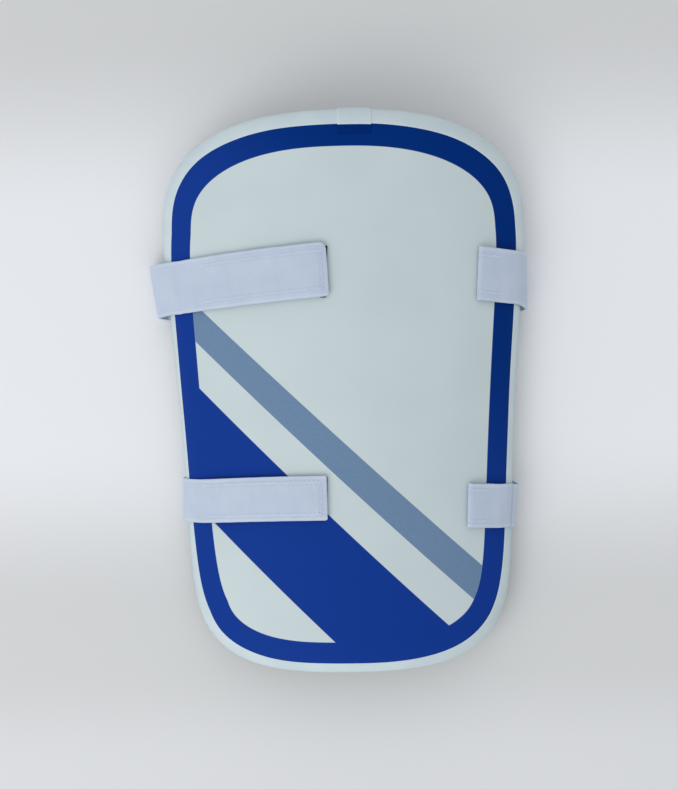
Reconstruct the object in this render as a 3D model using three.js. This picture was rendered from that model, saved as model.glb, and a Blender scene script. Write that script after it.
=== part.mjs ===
// A moulded thigh guard, lying on its back with its front up.
// A foam pad is arched across the thigh and carries a printed facing, a binding wraps its
// edge, and two elastic straps are sewn to it on one side and close on hook tape on the other.
// Millimetres. X runs across the guard, Y along it towards its wide end, Z up.
import * as THREE from 'three';

// Outline of the front, drawn to where front and edge would meet sharply
const guardLength = 375;
const midWidth = 241;
const shoulderFlare = 13.2; // half width gained from the middle to the wide end, and lost to the other
const endFlare = 9.7; // half width that both ends gain over a straight taper
const wideEnd = { sidePower: 2.5, crownPower: 5.5 };
const narrowEnd = { sidePower: 3.35, crownPower: 7.2 };

// Arch of the front across the thigh
const archRadius = 199; // at mid length
const archRadiusTaper = 13.6; // radius gained from the middle to the wide end, and lost to the other
const crestRise = 12.5; // how much higher the crest runs at the wide end than at the narrow one

// Edge of the pad, from the front round to the back
const shoulderRun = 20; // how far in from the edge the front starts to turn down
const shoulderDrop = 11;
const wallHeight = 1;
const heelRadius = 5;
const padThickness = 22; // in the middle, facing included

// Facing and binding
const facingThickness = 2;
const bindingThickness = 1.6;
const bindingBackCover = 10;
const bindingFrontCover = { wide: 10.6, waist: 10.3, narrow: 7.9, shoulderExtra: 11.9, rightExtra: 1.7 };
const shoulderExtraFrom = -0.11; // share of the half length where the waist's cover is narrowest
const shoulderUnevenness = 0.39; // share of the shoulders' extra that the right side lacks and the left gains
// Patch where the binding's ends lap. Its place across is a share of the half width at mid length.
const lap = { across: 0.0855, width: 22.4, reach: 6.3, thickness: 0.8 };

// Straps. Places across the guard are shares of its half width at mid length, places along it
// are shares of its half length, and the rest are lengths. Slack is how far a strap stands off
// the edge at its upper and lower side, and lean how far it drifts along on its way down.
const strapThickness = 1.8;
const hookThickness = 1.2;
const loopThickness = 1.2;
const hookNarrower = 2; // how much narrower than the strap its hook tape is
const loopNarrower = 6.5;
const rampLength = 10; // how far a strap takes to come down beside a layer that ends under it
const straps = [
  {
    name: 'upper', width: 35.5, freeEndAcross: -0.0797, freeEndAlong: 0.4408,
    foldAcross: 0.751, foldAlong: 0.418, foldSlant: 0.065, foldedUnder: 17,
    hookEndInset: 11.5, hookShift: -1.5, loopEndInset: 31.5,
    left: { along: 0.3952, slackHigh: 10.5, slackLow: 6, leanSide: -3.8, leanUnder: -7 },
    right: { along: 0.4048, slackHigh: 0, slackLow: 3.1, leanSide: -4, leanUnder: -7.5 },
  },
  {
    name: 'lower', width: 29.6, freeEndAcross: -0.112, freeEndAlong: -0.3627,
    foldAcross: 0.668, foldAlong: -0.4061, foldSlant: 0.04, foldedUnder: 17,
    hookEndInset: 7, hookShift: 0, loopEndInset: 25,
    left: { along: -0.3781, slackHigh: 0.3, slackLow: 2.6, leanSide: 0, leanUnder: 0 },
    right: { along: -0.4155, slackHigh: 3.8, slackLow: 0, leanSide: -2.4, leanUnder: 3 },
  },
];
// Degrees round the edge where a strap has reached its first lean, and where its second one starts
const leanTurns = { side: 55, under: 60 };
const hookOverhang = 0.6; // how far the hook tape shows past the strap's free end
const loopInset = 6; // how far back from the free end the loop patch starts

const gap = 0.3; // between neighbouring pieces

// How finely the curved pieces are cut
const outlineSteps = 72;
const stationSpacing = 2; // closest that two stations come
const cornerWeight = 45; // millimetres of outline that one radian of turn counts for

const halfLength = guardLength / 2;
const edgeThickness = shoulderDrop + wallHeight + heelRadius;

// Front surface of the guard

function archRadiusAt(y) {
  return archRadius + archRadiusTaper * (y / halfLength);
}

function frontHeight(x, y) {
  const radius = archRadiusAt(y);
  const crest = (crestRise / 2) * (y / halfLength);
  return crest - (radius - Math.sqrt(radius * radius - x * x));
}

function frontNormal(x, y) {
  const radius = archRadiusAt(y);
  const rise = Math.sqrt(radius * radius - x * x);
  const radiusSlope = archRadiusTaper / halfLength;
  const slopeX = -x / rise;
  const slopeY = crestRise / 2 / halfLength - radiusSlope + (radius * radiusSlope) / rise;
  return new THREE.Vector3(-slopeX, -slopeY, 1).normalize();
}

function onFront(x, y, height) {
  return new THREE.Vector3(x, y, frontHeight(x, y)).addScaledVector(frontNormal(x, y), height);
}

// Outline, as a tapered superellipse. Angle 0 is on +X and a quarter turn on the wide end.

function outlinePoint(angle) {
  const cosine = Math.cos(angle);
  const sine = Math.sin(angle);
  const end = sine >= 0 ? wideEnd : narrowEnd;
  const share = Math.sign(sine) * Math.abs(sine) ** (2 / end.crownPower);
  const halfWidth = midWidth / 2 + shoulderFlare * share + endFlare * share * share;
  const across = Math.sign(cosine) * Math.abs(cosine) ** (2 / end.sidePower);
  return new THREE.Vector2(halfWidth * across, halfLength * share);
}

// Local directions where the front meets the edge: the corner point in plan, and the plan
// part of the direction that leads out of the guard along its front.
function edgeFrame(angle) {
  const step = 1e-4;
  const corner = outlinePoint(angle);
  const along = outlinePoint(angle + step).sub(outlinePoint(angle - step)).normalize();
  const normal = frontNormal(corner.x, corner.y);
  const climb = -(normal.x * along.x + normal.y * along.y) / normal.z;
  const tangent = new THREE.Vector3(along.x, along.y, climb).normalize();
  const outward = tangent.cross(normal).normalize();
  return { corner, outward, angle };
}

function sideAngle(side, y) {
  const end = y >= 0 ? wideEnd : narrowEnd;
  const sine = Math.sign(y) * (Math.abs(y) / halfLength) ** (end.crownPower / 2);
  return side === 'right' ? Math.asin(sine) : Math.PI - Math.asin(sine);
}

// Station on a long side from which a point at y, some way in along the front, lies straight inwards
function angleOver(side, y, inset) {
  let angle = sideAngle(side, y);
  for (let i = 0; i < 3; i += 1) angle = sideAngle(side, y + edgeFrame(angle).outward.y * inset);
  return angle;
}

function crownAngle(x) {
  let low = 0;
  let high = Math.PI;
  for (let i = 0; i < 50; i += 1) {
    const middle = (low + high) / 2;
    if (outlinePoint(middle).x > x) low = middle;
    else high = middle;
  }
  return (low + high) / 2;
}

// A point given by its distance in from the edge along the front, and its height over the front.
function fromEdge(frame, { inset, height }) {
  const x = frame.corner.x - frame.outward.x * inset;
  const y = frame.corner.y - frame.outward.y * inset;
  return onFront(x, y, height);
}

// Profile of the edge. Each entry has its inset and height and the direction it faces, where
// 0 degrees faces out of the front, 90 out of the edge and 180 out of the back.

function facingDirection(degrees) {
  const turn = THREE.MathUtils.degToRad(degrees);
  return { sideways: Math.sin(turn), upward: Math.cos(turn) };
}

function shoulderFacing(degrees) {
  const direction = facingDirection(degrees);
  const reach = Math.hypot(shoulderRun * direction.sideways, shoulderDrop * direction.upward);
  const inset = shoulderRun - (shoulderRun * shoulderRun * direction.sideways) / reach;
  const height = (shoulderDrop * shoulderDrop * direction.upward) / reach - shoulderDrop;
  return { inset, height, ...direction };
}

function shoulderAt(inset) {
  if (inset >= shoulderRun) return { inset, height: 0, ...facingDirection(0) };
  const sine = 1 - inset / shoulderRun;
  const cosine = Math.sqrt(1 - sine * sine);
  const facing = Math.atan2(sine / shoulderRun, cosine / shoulderDrop);
  const height = shoulderDrop * (cosine - 1);
  return { inset, height, ...facingDirection(THREE.MathUtils.radToDeg(facing)) };
}

function heelFacing(degrees) {
  const direction = facingDirection(degrees);
  const inset = heelRadius * (1 - direction.sideways);
  const height = heelRadius * (1 + direction.upward) - edgeThickness;
  return { inset, height, ...direction };
}

function backAt(inset) {
  return { inset, height: -edgeThickness, ...facingDirection(180) };
}

function raised(entry, distance) {
  return {
    ...entry,
    inset: entry.inset - entry.sideways * distance,
    height: entry.height + entry.upward * distance,
  };
}

// Width of the binding on the front: narrower on the narrow end. It doesn't sit quite even: it is
// wider on the right at the waist, and on the left at the shoulders.
function frontCover({ angle, corner, outward }) {
  const sine = Math.sin(angle);
  const share = corner.y / halfLength;
  const { wide, waist, narrow, shoulderExtra, rightExtra } = bindingFrontCover;
  const crown = sine ** 4 * ((sine > 0 ? wide : narrow) - waist);
  const widening = Math.min((share - shoulderExtraFrom) ** 2, 0.5);
  const shoulder = shoulderExtra * widening * (1 - shoulderUnevenness * outward.x);
  return waist + crown + shoulder * Math.cos(angle) ** 2 + rightExtra * outward.x;
}

// The stretch of the profile that the binding covers, from its front end to its back end
function boundEntries(frame) {
  return [
    shoulderAt(frontCover(frame)), shoulderFacing(42), shoulderFacing(66), shoulderFacing(90),
    heelFacing(90), heelFacing(135), heelFacing(180), backAt(bindingBackCover),
  ];
}

// Evenly spread stations round the outline, closer together where it turns.
function spreadAngles(count) {
  const fine = 2880;
  const angles = Array.from({ length: fine + 1 }, (_, i) => Math.PI / 2 + (2 * Math.PI * i) / fine);
  const points = angles.map(outlinePoint);
  const travelled = [0];
  let heading = null;
  for (let i = 1; i <= fine; i += 1) {
    const leg = points[i].clone().sub(points[i - 1]);
    const turn = heading === null ? 0 : Math.abs(heading.angleTo(leg));
    travelled.push(travelled[i - 1] + leg.length() + cornerWeight * turn);
    heading = leg;
  }
  const total = travelled[fine];
  const chosen = [];
  let i = 0;
  for (let k = 0; k < count; k += 1) {
    const target = (total * k) / count;
    while (travelled[i + 1] < target) i += 1;
    const share = (target - travelled[i]) / (travelled[i + 1] - travelled[i]);
    chosen.push(angles[i] + share * (angles[i + 1] - angles[i]));
  }
  return chosen;
}

const frames = spreadAngles(outlineSteps).map(edgeFrame);

// Closed meshes

function closedGeometry(vertices, triangles) {
  const origin = new THREE.Vector3();
  let volume = 0;
  for (const [a, b, c] of triangles) {
    volume += vertices[a].dot(origin.crossVectors(vertices[b], vertices[c]));
  }
  const outward = volume > 0 ? triangles : triangles.map(([a, b, c]) => [a, c, b]);
  const positions = vertices.flatMap((vertex) => vertex.toArray());
  const geometry = new THREE.BufferGeometry();
  geometry.setAttribute('position', new THREE.Float32BufferAttribute(positions, 3));
  geometry.setIndex(outward.flat());
  geometry.computeVertexNormals();
  return geometry;
}

// Four corners in order, split from the first to the third
function quad(a, b, c, d) {
  return [[a, b, c], [a, c, d]];
}

// A body of rings, from a point in the middle of its front, out over the front rings, and back
// in over the back rings to a point in the middle of its back. Front and back are split alike,
// so that pieces which lie on each other have matching facets.
function domedGeometry(frontPole, outwardRings, inwardRings, backPole) {
  const rings = [...outwardRings, ...inwardRings];
  const count = rings[0].length;
  const vertices = [...rings.flat(), frontPole, backPole];
  const pole = rings.length * count;
  const last = (rings.length - 1) * count;
  const triangles = [];
  for (let k = 0; k < count; k += 1) {
    const next = (k + 1) % count;
    triangles.push([pole, k, next], [pole + 1, last + next, last + k]);
    for (let r = 0; r < rings.length - 1; r += 1) {
      const here = r * count;
      const there = here + count;
      const split = r < outwardRings.length
        ? quad(here + k, there + k, there + next, here + next)
        : quad(there + k, there + next, here + next, here + k);
      triangles.push(...split);
    }
  }
  return closedGeometry(vertices, triangles);
}

// A closed hoop: the same section, carried once round. The first half of a section is its outer
// side and the second half its inner side, and both are split alike.
function hoopGeometry(sections) {
  const sides = sections[0].length;
  const triangles = [];
  sections.forEach((_, k) => {
    const here = k * sides;
    const there = ((k + 1) % sections.length) * sides;
    for (let s = 0; s < sides; s += 1) {
      const next = (s + 1) % sides;
      const split = s < sides / 2
        ? quad(here + s, there + s, there + next, here + next)
        : quad(there + s, there + next, here + next, here + s);
      triangles.push(...split);
    }
  });
  return closedGeometry(sections.flat(), triangles);
}

// A band: each station has a row of points on its under side and one on its upper side.
function bandGeometry(stations) {
  const columns = stations[0].under.length;
  const sections = stations.map(({ under, over }) => [...under, ...over.slice().reverse()]);
  const sides = 2 * columns;
  const triangles = [];
  for (let k = 0; k < sections.length - 1; k += 1) {
    for (let s = 0; s < sides; s += 1) {
      const next = (s + 1) % sides;
      const here = k * sides;
      triangles.push(...quad(here + s, here + sides + s, here + sides + next, here + next));
    }
  }
  const end = (sections.length - 1) * sides;
  for (let c = 0; c < columns - 1; c += 1) {
    const opposite = sides - 1 - c;
    triangles.push(...quad(c, c + 1, opposite - 1, opposite));
    triangles.push(...quad(end + opposite, end + opposite - 1, end + c + 1, end + c));
  }
  return closedGeometry(sections.flat(), triangles);
}

// Rings of the pad and the facing, inside of where the edge's profile ends

const inwardShares = [0.2, 0.48, 0.78];

function innerInset(frame) {
  return Math.max(shoulderRun, frontCover(frame) + gap) + stationSpacing;
}

function inwardRing(share, heightOf) {
  return frames.map((frame) => {
    const inset = innerInset(frame);
    const x = (frame.corner.x - frame.outward.x * inset) * (1 - share);
    const y = (frame.corner.y - frame.outward.y * inset) * (1 - share);
    return onFront(x, y, heightOf(share));
  });
}

function frontRings(depth, startInset) {
  const curved = [0, 0.5, 1].map((share) =>
    frames.map((frame) => {
      const start = startInset(frame);
      const inset = start + share * (innerInset(frame) - start);
      return fromEdge(frame, raised(shoulderAt(inset), -depth));
    }),
  );
  return [...curved, ...inwardShares.map((share) => inwardRing(share, () => -depth))];
}

function padBackDepth(share) {
  return -(edgeThickness + (padThickness - edgeThickness) * Math.sin((share * Math.PI) / 2));
}

function padGeometry() {
  const underFacing = facingThickness + gap;
  const underBinding = bindingThickness + gap;
  const underBoth = Math.max(underFacing, underBinding);
  const front = frontRings(underFacing, (frame) => frontCover(frame) + gap);
  const edge = frames.map((frame) => boundEntries(frame).map((entry, i) =>
    fromEdge(frame, raised(entry, i === 0 ? -underBoth : -underBinding)),
  ));
  const edgeRings = edge[0].map((_, i) => edge.map((points) => points[i]));
  const backStart = frames.map((frame) => fromEdge(frame, backAt(bindingBackCover + 2 * gap)));
  const backInner = frames.map((frame) => fromEdge(frame, backAt(innerInset(frame))));
  const back = inwardShares.map((share) => inwardRing(share, padBackDepth));
  const outward = [...front.reverse(), ...edgeRings];
  const inward = [backStart, backInner, ...back];
  return domedGeometry(onFront(0, 0, -underFacing), outward, inward, onFront(0, 0, padBackDepth(1)));
}

function facingGeometry() {
  const start = (frame) => frontCover(frame) + gap;
  const outward = frontRings(0, start).reverse();
  const inward = frontRings(facingThickness, start);
  return domedGeometry(onFront(0, 0, 0), outward, inward, onFront(0, 0, -facingThickness));
}

function bindingGeometry() {
  const sections = frames.map((frame) => {
    const entries = boundEntries(frame);
    const outer = entries.map((entry) => fromEdge(frame, entry));
    const inner = entries.map((entry) => fromEdge(frame, raised(entry, -bindingThickness)));
    return [...outer, ...inner.reverse()];
  });
  return hoopGeometry(sections);
}

// The lap patch bends over the binding near the middle of the wide end.
function lapGeometry() {
  const middle = (lap.across * midWidth) / 2;
  const places = [-0.5, -0.25, 0, 0.25, 0.5].map((share) => middle + share * lap.width);
  const columns = places.map((x) => edgeFrame(crownAngle(x)));
  const innerEnd = bindingFrontCover.wide + lap.reach;
  const entries = [
    shoulderAt(innerEnd), shoulderAt((innerEnd + bindingFrontCover.wide) / 2),
    shoulderAt(bindingFrontCover.wide), shoulderFacing(42), shoulderFacing(66), shoulderFacing(88),
  ];
  return bandGeometry(
    entries.map((entry) => ({
      under: columns.map((frame) => fromEdge(frame, raised(entry, gap))),
      over: columns.map((frame) => fromEdge(frame, raised(entry, gap + lap.thickness))),
    })),
  );
}

// Straps

const acrossShares = [-0.5, 0, 0.5];
const strapOverHook = hookThickness + gap;
const hookOverLoop = loopThickness + gap;

// Height that a layer at x is lifted by another that starts at the free end and ends at endX.
function liftedBy(amount, x, endX) {
  return amount * THREE.MathUtils.smoothstep(x, endX - rampLength, endX);
}

function freeEndX(strap) {
  return (strap.freeEndAcross * midWidth) / 2;
}

// Where the left stretch of a strap leaves the front for the edge
function shoulderStartX(strap) {
  const frame = edgeFrame(sideAngle('left', strap.left.along * halfLength));
  return fromEdge(frame, shoulderAt(shoulderRun)).x;
}

function hookEndX(strap) {
  return shoulderStartX(strap) + strap.hookEndInset;
}

function loopEndX(strap) {
  return shoulderStartX(strap) + strap.loopEndInset;
}

function hookUnderHeight(strap, x) {
  return gap + liftedBy(hookOverLoop, x, loopEndX(strap));
}

function strapUnderHeight(strap, x) {
  return hookUnderHeight(strap, x) + liftedBy(strapOverHook, x, hookEndX(strap));
}

function leftY(strap, x) {
  const share = (x - shoulderStartX(strap)) / (freeEndX(strap) - shoulderStartX(strap));
  return halfLength * THREE.MathUtils.lerp(strap.left.along, strap.freeEndAlong, share);
}

// Stations from the free end to the edge, with one at each place where a layer ends or a ramp bends
function frontStations(strap) {
  const bends = [hookEndX(strap), loopEndX(strap)].flatMap((x) => [x, x - rampLength / 2, x - rampLength]);
  const startX = shoulderStartX(strap);
  const endX = freeEndX(strap);
  const even = [0, 0.18, 0.36, 0.54, 0.72, 0.9].map((share) => endX + share * (startX - endX));
  const stations = [...even, ...bends, endX - loopInset];
  return stations.filter((x) => x > startX + stationSpacing).sort((a, b) => b - a);
}

function frontBand(strap, xs, width, shiftY, underHeight, thickness) {
  return xs.map((x) => {
    const ys = acrossShares.map((share) => leftY(strap, x) + shiftY + share * width);
    const height = underHeight(x);
    return {
      under: ys.map((y) => onFront(x, y, height)),
      over: ys.map((y) => onFront(x, y, height + thickness)),
    };
  });
}

// Slack bows a strap out where it turns round the edge, more at one of its long edges.
function slackAt({ slackHigh, slackLow }, share, degrees, lastDegrees) {
  const slack = THREE.MathUtils.lerp(slackLow, slackHigh, share + 0.5);
  return slack * Math.sin((Math.PI * degrees) / lastDegrees) ** 2;
}

function leanAt({ leanSide, leanUnder }, degrees, lastDegrees) {
  const side = THREE.MathUtils.smoothstep(degrees, 0, leanTurns.side);
  const under = THREE.MathUtils.smoothstep(degrees, leanTurns.under, lastDegrees);
  return leanSide * side + (leanUnder - leanSide) * under;
}

function wrapEntries(lastDegrees) {
  const onShoulder = [0, 14, 30, 50, 70, 90].map((degrees) => ({ degrees, entry: shoulderFacing(degrees) }));
  const heelTurns = [90, (90 + lastDegrees) / 2, lastDegrees];
  const onHeel = heelTurns.map((degrees) => ({ degrees, entry: heelFacing(degrees) }));
  return [...onShoulder, ...onHeel];
}

// Angle at which the edge's profile faces straight down
function undersideDegrees(frame) {
  const normal = frontNormal(frame.corner.x, frame.corner.y);
  return 180 - THREE.MathUtils.radToDeg(Math.acos(normal.z));
}

function edgeWrap(strap, side, liftAt) {
  const columns = acrossShares.map((share) => {
    const y = strap[side].along * halfLength + share * strap.width;
    const lastDegrees = undersideDegrees(edgeFrame(sideAngle(side, y)));
    return wrapEntries(lastDegrees).map(({ degrees, entry }) => {
      const lean = leanAt(strap[side], degrees, lastDegrees);
      const frame = edgeFrame(angleOver(side, y + lean, entry.inset));
      const under = gap + slackAt(strap[side], share, degrees, lastDegrees) + liftAt(degrees);
      return {
        under: fromEdge(frame, raised(entry, under)),
        over: fromEdge(frame, raised(entry, under + strapThickness)),
      };
    });
  });
  return columns[0].map((_, i) => ({
    under: columns.map((column) => column[i].under),
    over: columns.map((column) => column[i].over),
  }));
}

function lowestPoint(strap, side) {
  const wrap = edgeWrap(strap, side, () => 0);
  return Math.min(...wrap.flatMap(({ over }) => over.map((point) => point.z)));
}

const floorZ = Math.min(
  ...straps.flatMap((strap) => [lowestPoint(strap, 'left'), lowestPoint(strap, 'right')]),
);

// Stretch that lies flat on the floor under the guard, from the left edge to the right one
const floorTurn = 8; // how far past its turn round the edge a strap lies flat

function floorStation(strap, side, wrap) {
  const turnX = wrap[wrap.length - 1].over[1].x;
  const x = side === 'left' ? turnX + floorTurn : turnX - floorTurn;
  const centreY = strap[side].along * halfLength + strap[side].leanUnder;
  const ys = acrossShares.map((share) => centreY + share * strap.width);
  return {
    under: ys.map((y) => new THREE.Vector3(x, y, floorZ + strapThickness)),
    over: ys.map((y) => new THREE.Vector3(x, y, floorZ)),
  };
}

// The right end lies on the front in two layers: the strap is folded under itself and sewn down.
const foldedLayer = strapThickness + gap;

// Distances back are measured from the fold towards the edge, and are below 0 past the fold.
function foldedEnd(strap) {
  const { foldSlant, foldedUnder } = strap;
  const foldX = (strap.foldAcross * midWidth) / 2;
  const edges = acrossShares.map((share) => {
    const start = fromEdge(
      edgeFrame(angleOver('right', strap.right.along * halfLength + share * strap.width, shoulderRun)),
      shoulderAt(shoulderRun),
    );
    const endX = foldX + foldSlant * share * strap.width;
    const endY = strap.foldAlong * halfLength + share * strap.width;
    return { start, end: { x: endX, y: endY } };
  });
  const station = (under, over) => {
    const line = ({ back, height }) => edges.map(({ start, end }) => {
      const share = 1 - back / (start.x - end.x);
      return onFront(
        THREE.MathUtils.lerp(start.x, end.x, share),
        THREE.MathUtils.lerp(start.y, end.y, share),
        height,
      );
    });
    return { under: line(under), over: line(over) };
  };
  const run = edges[1].start.x - foldX;
  const upper = [(run + foldedUnder) / 2, foldedUnder, foldedUnder / 2].map((back) => {
    const height = gap + foldedLayer;
    return station({ back, height }, { back, height: height + strapThickness });
  });
  const turnHeight = gap + strapThickness + gap / 2;
  const turn = [0, 45, 90, 135, 180].map((degrees) => {
    const direction = facingDirection(degrees);
    const at = (radius) => ({
      back: -radius * direction.sideways,
      height: turnHeight + radius * direction.upward,
    });
    return station(at(gap / 2), at(gap / 2 + strapThickness));
  });
  const under = [foldedUnder / 2, foldedUnder].map((back) =>
    station({ back, height: gap + strapThickness }, { back, height: gap }),
  );
  return [...upper, ...turn, ...under];
}

function strapGeometry(strap) {
  const xs = frontStations(strap);
  const front = frontBand(strap, xs, strap.width, 0, (x) => strapUnderHeight(strap, x), strapThickness);
  const left = edgeWrap(strap, 'left', () => 0);
  const lift = (degrees) => foldedLayer * (1 - THREE.MathUtils.smoothstep(degrees, 0, 30));
  const right = edgeWrap(strap, 'right', lift).reverse();
  return bandGeometry([
    ...front,
    ...left,
    floorStation(strap, 'left', left),
    floorStation(strap, 'right', right.slice().reverse()),
    ...right,
    ...foldedEnd(strap),
  ]);
}

// A flat layer under the strap's left stretch, between two places across the guard
function layerGeometry(strap, { firstX, lastX, width, shift, underHeight, thickness }) {
  const within = (x) => x > lastX + stationSpacing && x < firstX - stationSpacing;
  const xs = [firstX, ...frontStations(strap).filter(within), lastX];
  return bandGeometry(frontBand(strap, xs, width, shift, underHeight, thickness));
}

function hookGeometry(strap) {
  return layerGeometry(strap, {
    firstX: freeEndX(strap) + hookOverhang,
    lastX: hookEndX(strap),
    width: strap.width - hookNarrower,
    shift: strap.hookShift,
    underHeight: (x) => hookUnderHeight(strap, x),
    thickness: hookThickness,
  });
}

function loopGeometry(strap) {
  return layerGeometry(strap, {
    firstX: freeEndX(strap) - loopInset,
    lastX: loopEndX(strap),
    width: strap.width - loopNarrower,
    shift: 0,
    underHeight: () => gap,
    thickness: loopThickness,
  });
}

// The assembly

const finishes = {
  foam: { color: '#c9d4d6', roughness: 0.85, metalness: 0 },
  facing: { color: '#c0d0d2', roughness: 0.5, metalness: 0 },
  binding: { color: '#bccacf', roughness: 0.55, metalness: 0 },
  elastic: { color: '#bcc5dc', roughness: 0.9, metalness: 0 },
  hook: { color: '#15161a', roughness: 0.95, metalness: 0 },
  loop: { color: '#b9bfcc', roughness: 0.95, metalness: 0 },
};

function piece(name, geometry, finish) {
  const mesh = new THREE.Mesh(geometry, new THREE.MeshStandardMaterial(finish));
  mesh.name = name;
  return mesh;
}

const guard = new THREE.Group();
guard.add(
  piece('pad', padGeometry(), finishes.foam),
  piece('facing', facingGeometry(), finishes.facing),
  piece('edge_binding', bindingGeometry(), finishes.binding),
  piece('binding_lap', lapGeometry(), finishes.binding),
);
for (const strap of straps) {
  guard.add(
    piece(`${strap.name}_strap`, strapGeometry(strap), finishes.elastic),
    piece(`${strap.name}_hook_tape`, hookGeometry(strap), finishes.hook),
    piece(`${strap.name}_loop_patch`, loopGeometry(strap), finishes.loop),
  );
}

// The origin is the middle of the footprint, on the floor.
const box = new THREE.Box3().setFromObject(guard);
guard.position.set(-(box.min.x + box.max.x) / 2, -(box.min.y + box.max.y) / 2, -box.min.z);

export default guard;
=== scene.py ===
"""A moulded thigh guard that lies on its back, dressed for a studio picture.

The guard is a foam pad, arched across the thigh, with a printed facing, a tape binding round
its edge and two elastic straps that are sewn on one side and close on hook tape on the other.
Lengths are in metres. On the guard's own axes x runs across it, y along it towards its wide
end, and z up from its crest at mid length.
"""

import logging
import math
from dataclasses import dataclass, field
from enum import Enum
from typing import Callable, Iterable, Sequence

import bpy
import numpy as np
from mathutils import Matrix, Vector

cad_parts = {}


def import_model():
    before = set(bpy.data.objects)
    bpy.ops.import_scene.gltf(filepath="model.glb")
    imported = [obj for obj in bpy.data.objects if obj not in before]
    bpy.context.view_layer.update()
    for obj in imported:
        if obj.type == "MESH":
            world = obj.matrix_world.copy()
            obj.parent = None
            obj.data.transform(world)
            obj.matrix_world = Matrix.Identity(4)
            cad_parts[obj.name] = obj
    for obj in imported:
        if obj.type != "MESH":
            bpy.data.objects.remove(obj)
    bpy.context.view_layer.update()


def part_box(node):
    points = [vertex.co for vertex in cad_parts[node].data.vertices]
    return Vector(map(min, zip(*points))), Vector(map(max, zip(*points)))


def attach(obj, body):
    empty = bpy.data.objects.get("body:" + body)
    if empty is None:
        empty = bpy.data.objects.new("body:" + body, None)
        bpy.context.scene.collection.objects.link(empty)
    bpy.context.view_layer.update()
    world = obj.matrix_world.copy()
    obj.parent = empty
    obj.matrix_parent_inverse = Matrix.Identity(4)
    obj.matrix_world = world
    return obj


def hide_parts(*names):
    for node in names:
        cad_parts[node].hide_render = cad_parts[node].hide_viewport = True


BODY = "root"
log = logging.getLogger("thigh_guard")


def smooth_step(value: float, low: float, high: float) -> float:
    """Eases from 0 at low to 1 at high.

    Args:
        value: Where to read the curve.
        low: Where it leaves 0.
        high: Where it reaches 1.

    Returns:
        A share from 0 to 1.
    """
    share = min(max((value - low) / (high - low), 0.0), 1.0)
    return share * share * (3 - 2 * share)


def mix(first: float, second: float, share: float) -> float:
    """Returns the value that lies a share of the way from first to second."""
    return first + (second - first) * share


def spaced(start: float, end: float, step: float) -> list[float]:
    """Even stations from start to end, both included, about a step apart.

    Args:
        start: The first station.
        end: The last station.
        step: How far apart they should be.

    Returns:
        The stations in order.
    """
    count = max(2, round(abs(end - start) / step) + 1)
    return [mix(start, end, i / (count - 1)) for i in range(count)]


def srgb(red: int, green: int, blue: int) -> tuple[float, float, float, float]:
    """Turns a colour as seen on a screen into the linear one that shaders take.

    Args:
        red: Red from 0 to 255.
        green: Green from 0 to 255.
        blue: Blue from 0 to 255.

    Returns:
        Linear red, green and blue, and an alpha of 1.
    """
    shares = [channel / 255 for channel in (red, green, blue)]
    linear = [s / 12.92 if s <= 0.04045 else ((s + 0.055) / 1.055) ** 2.4 for s in shares]
    return (linear[0], linear[1], linear[2], 1.0)


class Side(Enum):
    """The two long sides of the guard, as seen from the front."""

    LEFT = -1
    RIGHT = 1


@dataclass(frozen=True)
class Entry:
    """A place on the edge's profile, and the way that the surface faces there."""

    inset: float
    height: float
    sideways: float = 0.0
    upward: float = 1.0

    def raised(self, distance: float) -> "Entry":
        """Moves the place out along the way it faces.

        Args:
            distance: How far it moves, inwards if negative.

        Returns:
            The moved place, facing the same way.
        """
        inset = self.inset - self.sideways * distance
        height = self.height + self.upward * distance
        return Entry(inset, height, self.sideways, self.upward)


@dataclass(frozen=True)
class EdgeFrame:
    """A station on the outline, with the plan part of the way out along the front there."""

    angle: float
    x: float
    y: float
    out_x: float
    out_y: float


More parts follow.
